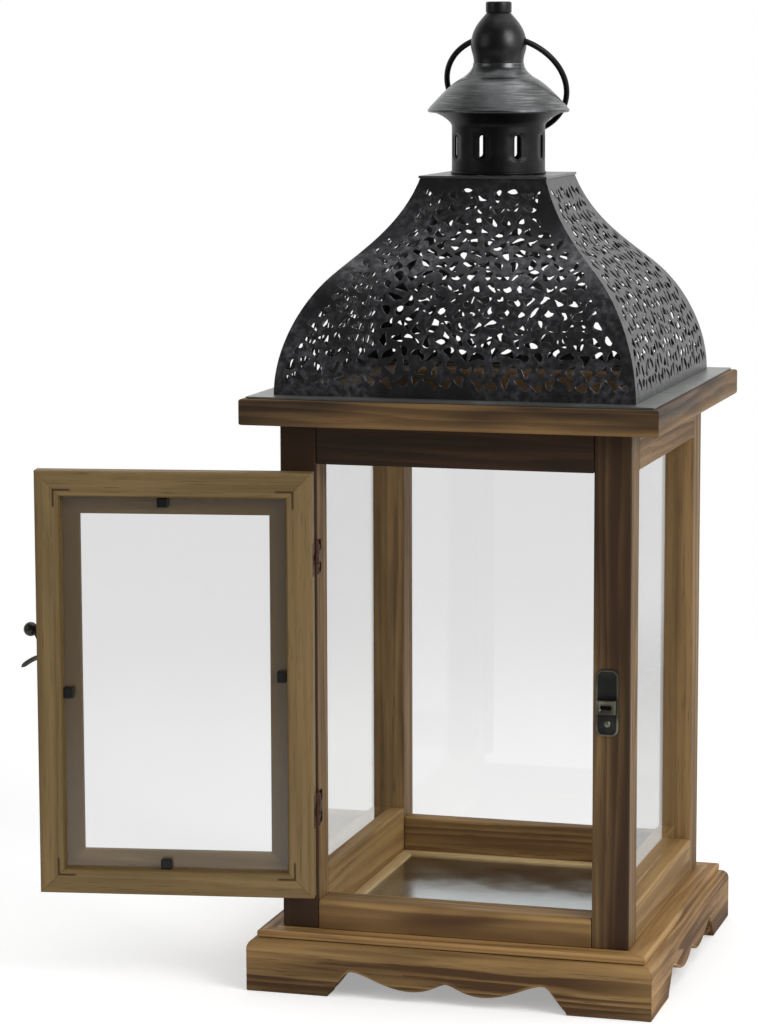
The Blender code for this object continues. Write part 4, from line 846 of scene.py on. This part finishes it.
def makeNeck():
    # A bead at the foot, a straight wall and a flare, with a flat sheet of slotted cells rolled round it.
    n = neck
    wallTop, beadSteps, slotRow = n.top - n.flareHeight, 8, 4
    bead = rounded((n.radius, n.bottom + n.footBead), n.footBead, -90, 90, beadSteps)
    straight = np.array(((n.radius, n.bottom + 2 * n.footBead), (n.radius, wallTop)))
    flare = bezier((n.radius, wallTop), (n.radius, n.top - 0.6 * n.flareHeight),
                   (n.flareRadius - 0.4 * n.flareHeight, n.top - 0.15 * n.flareHeight),
                   (n.flareRadius, n.top), 14)
    profile = chain(bead, straight, flare)
    length = lengthAlong(profile)
    low = length[beadSteps] - 2 * n.footBead + n.sill - n.slotMargin
    high = low + n.slotHeight + 2 * n.slotMargin
    edges = np.concatenate((np.linspace(0, low, slotRow + 1), [high], np.linspace(high, length[-1], 5)[1:]))
    _, row, centre, cell = sheetCells(np.arange(n.slots), edges, 2 * np.pi * n.radius / n.slots)
    slotted = row == slotRow
    hole = np.roll(slotOutline(n.slotWidth, n.slotHeight, 4 * n.side), 2, 0)
    fractions = (0.0, 0.12, 0.3, 0.36, 0.42, 0.7, 1.0)
    sinks = np.array((1.0, 1.0, 1.0, 0.4, 0.0, 0.0, 0.0)) * n.press
    holes = np.broadcast_to(hole, (slotted.sum(), 4 * n.side, 2))
    flat, sunk, faces = piercedSheet(centre, cell, slotted, ~slotted, holes, fractions, sinks, n.side)
    radius, height = (np.interp(flat[:, 1], length, line) for line in profile.T)
    angle = flat[:, 0] / n.radius + math.radians(n.slotTurn - 90)
    radius = radius - sunk
    points = np.stack((radius * np.cos(angle), radius * np.sin(angle), height), -1)
    sheetPiece("chimney_neck", points, faces, "neckPaint", n.wall)


def makeHat():
    # A rolled rim, a hollow cone that rises to the collar, and a flat crown, with the wall inside them.
    h, c = hat, hat.coneHeight
    rimTop, bead = h.bottom + h.rimHeight, h.rimHeight / 2
    coneTop = rimTop + c
    top = coneTop + h.collarHeight
    cone = bezier((h.rim - 0.4 * bead, rimTop), (h.rim - 0.4 * c, rimTop + 0.4 * c),
                  (h.coneTop + 0.36 * c, coneTop - 0.16 * c), (h.coneTop, coneTop), 26)
    collar = bezier(cone[-1], (h.coneTop - 0.33 * h.collarHeight, coneTop + 0.24 * h.collarHeight),
                    (h.collar, top - 0.45 * h.collarHeight), (h.collar, top - h.crown), 14)
    crown = rounded((h.collar - h.crown, top - h.crown), h.crown, 0, 90, 4)
    roll = rounded((h.rim - bead, h.bottom + bead), bead, -90, 62, 10)
    underside = np.array(((h.rim - h.hem, h.bottom), (h.rim - 2 * bead, h.bottom)))
    outer = chain(roll, cone, collar, crown, np.array(((h.collar - h.crown, top), (0.0, top))))
    hollow = np.concatenate((cone, collar))
    hollow = (hollow - (h.wall, h.wall))[hollow[:, 0] - h.wall < h.rim - h.hem][::3]
    profile = np.concatenate((((0.0, top - h.wall),), hollow[::-1], underside, outer))
    makePiece("chimney_hat", *turnedShell(profile, 96), "hatPaint", crease=38.0)


def makeFinial():
    # A bulb from the foot to the knob's neck, a knob with eased edges, and the wall inside them.
    f, hatTop = finial, hat.bottom + hat.rimHeight + hat.coneHeight + hat.collarHeight
    waist, neckTop = hatTop + 0.0003 + f.waist, hatTop + 0.0003 + f.height
    bottom, top, e = hatTop + 0.00004, neckTop + f.knobHeight, f.knobEasing
    lower = bezier((f.foot, bottom), (f.foot, bottom + 0.48 * f.waist), (f.bulb, waist - 0.38 * f.waist),
                   (f.bulb, waist), 14)
    upper = bezier((f.bulb, waist), (f.bulb, waist + 0.36 * f.height),
                   (f.knob + 0.3 * f.knobHeight, neckTop - 0.5 * f.knobHeight),
                   (f.knob - 0.0005, neckTop), 26)
    knob = chain(rounded((f.knob - 0.0004, neckTop + 0.0006), 0.0004, -90, 0, 4),
                 np.array(((f.knob, neckTop + 0.0006), (f.knob, top - e))),
                 rounded((f.knob - e, top - e), e, 0, 90, 6))
    shell = (np.concatenate((lower, upper[1:22])) - (f.wall, 0.0))[::3]
    inner = np.concatenate((((0.0, shell[-1, 1] + f.wall),), shell[::-1]))
    profile = np.concatenate((inner, lower, upper[1:], knob, ((0.0, top),)))
    item = makePiece("finial", *turnedShell(profile, 80), "finialPaint", name="finialBulb", crease=38.0)
    axisZ = waist + ring.above
    drill = np.array(((0.0, -0.004), (ring.hole, -0.004), (ring.hole, 0.004), (0.0, 0.004)))
    for name, sign in (("Left", -1), ("Right", 1)):  # holes for the ring
        cutOut(item, f"ringDrill{name}", *turnedShell(drill, 32, (sign * f.bulb, 0.0, axisZ), 0))
    return axisZ


def makeRing(axisZ):
    # A circle of the ring's radius swept by a circle of the wire, hung below its axis and leant back.
    g, lean = ring, math.radians(ring.lean)
    drop = math.sqrt(g.radius ** 2 - (finial.bulb - finial.wall / 2) ** 2)
    steps = (np.linspace(0, 2 * np.pi, count, endpoint=False) for count in (g.around, g.across))
    around, across = np.meshgrid(*steps, indexing="ij")
    out = g.radius + g.wire * np.cos(across)
    x, y, z = out * np.cos(around), g.wire * np.sin(across), out * np.sin(around) - drop
    turned = y * math.cos(lean) - z * math.sin(lean), axisZ + y * math.sin(lean) + z * math.cos(lean)
    faces = gridFaces(g.around + 1, g.across) % (g.around * g.across)
    makePiece("ring_handle", np.stack((x, *turned), -1), faces, "neckPaint", body="ring_handle")


makeNeck()
makeHat()
makeRing(makeFinial())
print("chimney made")


# Latch and hinges

keeper = Sizes(x=0.0961, z=0.1507, width=0.014, length=0.041, corner=0.0045, back=-0.1103, front=-0.1113,
               rim=0.0012, sunk=0.0007, stapleZ=0.1484, staple=(0.0120, 0.0086), stapleFront=-0.1151,
               wall=0.0012, window=(0.007, 0.0026), plateCorner=0.00695)
hook = Sizes(pivot=(0.0738, 0.1567), reach=0.032, back=-0.1116, thickness=0.002, eye=0.0038, hole=0.0018,
             ball=0.0045, ballY=-0.1151, raised=35.4, armWidth=0.0026, tailWidth=0.0030, steps=18)
fastener = Sizes(z=0.1377, headRadius=0.0021, headHeight=0.0010, shankRadius=0.0009, length=0.0062,
                 slotWidth=0.0006, slotDepth=0.0005, rivetRadius=0.0031, rivetFront=-0.1150,
                 rivetBack=-0.1137, rivetEasing=0.0006, rivetShank=0.0015)


def platePoints(k, steps):
    # One loop for each inset and y: a rectangle with round corners, its halves and its corner radius made
    # smaller by the inset. Faces lie between the loops and over both ends.
    loops = []
    for inset, y in steps:
        corner = max(k.corner - inset, 0.0003)
        x, z = k.width / 2 - inset - corner, k.length / 2 - inset - corner
        ways = ((1, 1, 0), (-1, 1, 90), (-1, -1, 180), (1, -1, 270))
        turns = [rounded((sx * x, sz * z), corner, start, start + 90, 6) for sx, sz, start in ways]
        flat = np.concatenate(turns)
        loops.append(np.stack((flat[:, 0] + k.x, np.full(len(flat), y), flat[:, 1] + k.z), -1))
    return np.array(loops).reshape(-1, 3), loftFaces(len(loops), len(loops[0]))


def makeScrew(node, x, z, seat, turn, body="lantern", place=np.asarray):
    # A domed head with a slot, on a shank that runs back from the seat.
    f, r, h = fastener, fastener.headRadius, fastener.headHeight
    head = bezier((0.0, -h), (0.6 * r, -h), (r, -0.6 * h), (r, 0.0), 10)
    shank = ((f.shankRadius, 0.0), (f.shankRadius, f.length - f.shankRadius), (0.0, f.length))
    points, faces = turnedShell(np.concatenate((head, shank)), 36, (x, seat, z), 1)
    item = makePiece(node, place(points), faces, "keeperBronze", body=body)
    c, s = math.cos(math.radians(turn)), math.sin(math.radians(turn))
    slot = np.array(rectangle(-1.5 * r, -f.slotWidth / 2, 1.5 * r, f.slotWidth / 2))[[2, 3, 0, 1]]
    slot = slot @ np.array(((c, s), (-s, c)))
    box = [(x + u, seat - h + y, z + v) for y in (-0.001, f.slotDepth) for u, v in slot]
    cutOut(item, f"{item.name}Slot", place(np.array(box)), loftFaces(2, 4), body)


def makeKeeper():
    # A plate with a sunk middle, and a staple that is a bent channel with a window punched in its front.
    k, floorY = keeper, keeper.front + keeper.sunk
    steps = ((0.0, k.back), (0.0, k.front + 0.0003), (0.0001, k.front + 0.0001), (0.0003, k.front),
             (k.rim - 0.0002, k.front), (k.rim, k.front + 0.0001), (k.rim + 0.0002, floorY - 0.0001),
             (k.rim + 0.0005, floorY), (0.0060, floorY))
    plate = makePiece("keeper_plate", *platePoints(k, steps), "keeperBronze", crease=30.0)
    plate.data.materials.append(finishes["recessBronze"])
    reach = np.abs(faceValues(plate, "center") - (k.x, floorY, k.z))
    sunk = (reach < (k.width / 2 - k.rim, 0.00036, k.length / 2 - k.rim)).all(1)
    plate.data.polygons.foreach_set("material_index", sunk.astype(np.int32))

    halfX, halfZ, wall, outer = k.staple[0] / 2, k.staple[1] / 2, k.wall, k.stapleFront
    root, inside = k.front + 0.0008, outer + wall
    corners = ((-halfX, root), (-halfX, outer), (halfX, outer), (halfX, root),
               (halfX - wall, root), (halfX - wall, inside), (wall - halfX, inside), (wall - halfX, root))
    radii = (0.0001, 0.0013, 0.0013, 0.0001, 0.0001, 0.0003, 0.0003, 0.0001)
    section, edge = easedSection(corners, radii, 0.00015, 4)
    staple = board(section, edge, -halfZ, halfZ, upright, (k.x, 0, k.stapleZ), easing=0.0003, hollow=True)
    staple = makePiece("keeper_plate", *staple[:2], "keeperBronze", name="keeperStaple", crease=30.0)
    window = Sizes(k, z=k.stapleZ, width=k.window[0], length=k.window[1], corner=0.0009)
    cutOut(staple, "staplePunch", *platePoints(window, ((0.0, outer - 0.001), (0.0, inside + 0.0005))))


def makeLatchPlate():
    # The plate under the hook, its rivet and its screw, and the keeper's screw.
    k, f, (x, z) = keeper, fastener, hook.pivot
    steps = ((0.0, k.back), (0.0, k.front + 0.0003), (0.0001, k.front + 0.0001), (0.0003, k.front),
             (0.0066, k.front))
    points, faces = platePoints(Sizes(k, x=x, corner=k.plateCorner), steps)
    makePiece("latch_plate", onDoor(points), faces, "bronze", body="door", crease=30.0)
    top, e = f.rivetFront, f.rivetEasing
    head = rounded((f.rivetRadius - e, top + e), e, 270, 360, 6)
    shank = ((f.rivetRadius, f.rivetBack), (f.rivetShank, f.rivetBack), (f.rivetShank, k.back), (0.0, k.back))
    points, faces = turnedShell(np.concatenate((((0.0, top - 0.00002),), head, shank)), 48, (x, 0.0, z), 1)
    makePiece("latch_rivet", onDoor(points), faces, "keeperBronze", body="door")
    makeScrew("latch_screw", x, f.z, k.front, 24.0, "door", onDoor)
    makeScrew("keeper_screw", k.x, f.z, k.front + k.sunk, -38.0)


def rod(path, widths, thickness, steps=12):
    # An oval carried along the path: width across it in its own plane, thickness along y, and closed at
    # both ends.
    ahead = unit(np.gradient(path, axis=0))
    side = np.stack((-ahead[:, 1], ahead[:, 0]), -1)
    angle = np.linspace(0, 2 * np.pi, steps, endpoint=False)
    flat = path[:, None] + side[:, None] * (np.cos(angle)[None, :, None] * (widths[:, None, None] / 2))
    depth = np.sin(angle)[None] * (np.minimum(thickness, widths) / 2)[:, None]
    return np.stack((flat[..., 0], depth, flat[..., 1]), -1).reshape(-1, 3), loftFaces(len(path), steps)


def makeHook():
    # An arm and a tail as rods, an eye round the rivet and a ball, turned up from the latched place.
    h, middle, raised = hook, hook.back - hook.thickness / 2, math.radians(hook.raised)
    arm = bezier((0.1, 0.0), (0.38, 0.06), (0.60, 0.24), (0.90, 0.40), h.steps) * h.reach
    tail = bezier((0.40, 0.115), (0.52, 0.08), (0.62, -0.04), (0.706, -0.353), h.steps) * h.reach
    share = np.clip((np.linspace(0, 1, h.steps + 1) - 0.86) / 0.14, 0, 1)  # the tail's end is rounded off
    widths = h.tailWidth * np.sqrt(np.clip(1 - share ** 2, 0.002, 1))
    eyeOut, eyeIn = h.eye - 0.0006, h.hole + 0.0004
    profile = chain(rounded((eyeIn, -0.0006), 0.0004, 180, 270, 3),
                    rounded((eyeOut, -0.0004), 0.0006, 270, 360, 3),
                    rounded((eyeOut, 0.0004), 0.0006, 0, 90, 3), rounded((eyeIn, 0.0006), 0.0004, 90, 180, 3))
    ball = rounded((0.0, 0.0), h.ball, -90, 90, 18)
    points, faces = welded([
        rod(arm, np.full(len(arm), h.armWidth), h.thickness), rod(tail, widths, h.thickness),
        turnedShell(profile, 32, axis=1, hollow=True),
        turnedShell(ball, 32, (0.984 * h.reach, h.ballY - middle, 0.363 * h.reach))])
    x, y, z = points.T
    x, z = x * math.cos(raised) - z * math.sin(raised), x * math.sin(raised) + z * math.cos(raised)
    closed = np.stack((x + h.pivot[0], y + middle, z + h.pivot[1]), -1)
    makePiece("latch_lever", onDoor(closed), faces, "bronze", body="latch_lever", name="latchHook")


hinges = Sizes(heights=(0.0749, 0.2321), half=0.0105, gap=0.0003, radius=0.002, easing=0.0002,
               spread=0.00025, thickness=0.0008, back=-0.101, bore=0.0012, inner=0.0013, pinRadius=0.0009,
               pinHead=0.0016, headHeight=0.0008, screwRadius=0.0017, screwY=-0.1055, screwRise=0.0060)


def barrel(radius, low, high, easing):
    # A round bar's profile with eased ends.
    return np.concatenate((((0.0, low),), rounded((radius - easing, low + easing), easing, -90, 0, 3),
                           rounded((radius - easing, high - easing), easing, 0, 90, 3), ((0.0, high),)))


def makeLeaf(label, middle, part, sign, knuckles):
    # A plate with a tongue into each of its knuckles, the knuckles as hollow barrels, and two domed screw
    # heads.
    h, (x, y) = hinges, door.hinge
    third = 2 * h.half / 3
    near, far = x + sign * h.spread, x + sign * (h.spread + h.thickness)
    lows = [middle - h.half + third * k + h.gap / 2 for k in knuckles]
    highs = [middle - h.half + third * (k + 1) - h.gap / 2 for k in knuckles]
    tongues = [(low, high, y + h.inner) for low, high in zip(lows, highs)]
    shells = []
    for low, high, start in [(middle - h.half, middle + h.half, y + h.radius + 2 * h.gap)] + tongues:
        section, edge = easedSection(rectangle(near, start, far, h.back), 0.00015, 0.0001, 2)
        shells.append(board(section, edge, low, high, upright, easing=0.00015)[:2])
    for low in lows:
        tube = barrel(h.radius, low, low + third - h.gap, h.easing)
        tube[[0, -1], 0] = h.bore
        shells.append(turnedShell(tube, 32, (x, y, 0.0), hollow=True))
    dome = np.array(((0.0, 0.00012), (0.6 * h.screwRadius, 0.00010), (h.screwRadius, 0.0), (0.0, 0.0)))
    for rise in (-h.screwRise, h.screwRise):
        shells.append(turnedShell(dome * (1, -sign), 24, (near, h.screwY, middle + rise), 0))
    points, faces = welded(shells)
    onPost = part == "post"
    makePiece(f"hinge_{label}_{part}_leaf", points if onPost else onDoor(points), faces, "hingeBronze",
              body="lantern" if onPost else "door")


def makeHinges():
    h, centre = hinges, (*door.hinge, 0.0)
    for label, middle in zip(("lower", "upper"), h.heights):
        makeLeaf(label, middle, "post", -1, (0, 2))
        makeLeaf(label, middle, "door", 1, (1,))
        low, high = middle - h.half, middle + h.half + h.gap
        pin = barrel(h.pinRadius, low - h.headHeight, high, 0.0002)
        cap = barrel(h.pinHead, high - 0.0002, high + h.headHeight, 0.0003)
        points, faces = welded([turnedShell(pin, 24, centre), turnedShell(cap, 32, centre)])
        makePiece(f"hinge_{label}_pin", points, faces, "hingeBronze")


makeKeeper()
makeLatchPlate()
makeHook()
makeHinges()
print("latch and hinges made")


# Solids that keep their shape

carried = {
    "glass": ("pane_right", "pane_back", "pane_left", "door_glass"),
    "mirror": ("candle_plate",),
    "platePaint": ("roof_top_plate",),
    "flangePaint": ("roof_flange",),
    "clipPaint": ("glass_clip_top", "glass_clip_bottom", "glass_clip_hinge", "glass_clip_latch"),
}
for key, names in carried.items():
    for name in names:
        nodes[name].data.materials.clear()
        nodes[name].data.materials.append(finishes[key])
print("carried solids finished")


# Floor, lights, world and camera

studio = Sizes(floorRadius=2.2, fadeFrom=0.55, fadeTo=1.5, floorGlow=0.33, worldFill=0.55, lampAim=0.22)
lamps = {  # place, size and power
    "keySoftbox": ((1.7, -0.9, 1.3), 1.1, 26.0),
    "fillSoftbox": ((-1.6, -1.4, 0.9), 1.2, 5.0),
    "topSoftbox": ((0.2, 0.2, 2.1), 1.4, 8.0),
}
view = Sizes(place=(0.5174, -2.0498, 0.5470), angles=(-16.218, -8.043, -0.175), lens=117.7, sensor=36.0)


def straightRays(tree):  # 1 for rays that come straight from the camera or through the glass
    path = put(tree, "LightPath").outputs
    return path, sums(tree, "ADD", path["Is Camera Ray"], path["Is Transmission Ray"], clamp=True)


def makeFloor():
    # One three-cornered face. Away from the object it glows as white as the background for straight rays,
    # so that no edge shows, and is see-through for the other rays.
    s = studio
    points = rounded((0, 0), 2 * s.floorRadius, 90, 330, 2)
    points = np.append(points, np.full((3, 1), base.table - 0.0001), 1)
    mesh = bpy.data.meshes.new("floor")
    mesh.from_pydata(points.tolist(), [], [(0, 1, 2)])
    item = newObject("floor", mesh)
    finish, tree, shader = newFinish("paleFloor", Roughness=0.9, Specular_IOR_Level=0.0,
                                     Emission_Color=(1, 1, 1, 1))
    far = put(tree, "VectorMath", {0: ownPlace(tree)}, operation="LENGTH").outputs["Value"]
    near = ramped(tree, far, s.fadeFrom, s.fadeTo, 1.0, 0.0)
    straight = straightRays(tree)[1]
    feed(tree, shader, {"Base Color": blended(tree, near, (0, 0, 0, 1), (0.86, 0.86, 0.86, 1)),
                        "Emission Strength": times(tree, straight, scaled(tree, near, s.floorGlow - 1.0, 1.0)),
                        "Alpha": sums(tree, "MAXIMUM", near, straight)})
    mesh.materials.append(finish)


def makeLamp(name, place, size, power):
    lamp = bpy.data.lights.new(name, "AREA")
    lamp.shape, lamp.size, lamp.energy = "SQUARE", size, power
    x, y, z = np.array(place) - (0.0, 0.0, studio.lampAim)
    item = newObject(name, lamp)
    item.location, item.rotation_euler = place, (math.atan2(math.hypot(x, y), z), 0.0, math.atan2(x, -y))


def makeWorld():
    # White for camera and transmission rays, and an even fill for the rest. Gloss sees the white behind and
    # the window beside the object, and a darker room in front of it.
    world = bpy.data.worlds.new("studio")
    bpy.context.scene.world = world
    world.use_nodes = True
    tree, fill = world.node_tree, studio.worldFill
    ray = put(tree, "SeparateXYZ", {0: put(tree, "TexCoord").outputs["Generated"]}).outputs
    behind = ramped(tree, ray["Y"], -0.2, 0.5, 0.08, 1.0)
    beside = ramped(tree, ray["X"], 0.25, 0.95, 0.0, 0.9)
    path, straight = straightRays(tree)
    room = sums(tree, "SUBTRACT", sums(tree, "MAXIMUM", behind, beside), fill)
    strength = scaled(tree, path["Is Glossy Ray"], room, fill)
    strength = scaled(tree, straight, sums(tree, "SUBTRACT", 1.0, strength), strength)
    feed(tree, tree.nodes["Background"].inputs, {"Color": (1, 1, 1, 1), "Strength": strength})


def makeCamera():
    # Looks ahead by its yaw and pitch in degrees, and is then rolled about that line.
    camera = newObject("photoCamera", bpy.data.cameras.new("photoCamera"))
    camera.data.lens, camera.data.sensor_width = view.lens, view.sensor
    camera.data.clip_start, camera.data.clip_end = 0.05, 60.0
    yaw, pitch, roll = np.radians(view.angles)
    ahead = np.array((math.sin(yaw) * math.cos(pitch), math.cos(yaw) * math.cos(pitch), math.sin(pitch)))
    right = unit(np.cross(ahead, (0, 0, 1)))
    up = np.cross(right, ahead)
    right, up = math.cos(roll) * right + math.sin(roll) * up, math.cos(roll) * up - math.sin(roll) * right
    matrix = np.eye(4)
    matrix[:3] = np.stack((right, up, -ahead, view.place), -1)
    camera.matrix_world = Matrix(matrix)
    bpy.context.scene.camera = camera


makeFloor()
for name, values in lamps.items():
    makeLamp(name, *values)
makeWorld()
makeCamera()
bpy.context.scene.view_settings.view_transform = "Standard"
print("studio made")
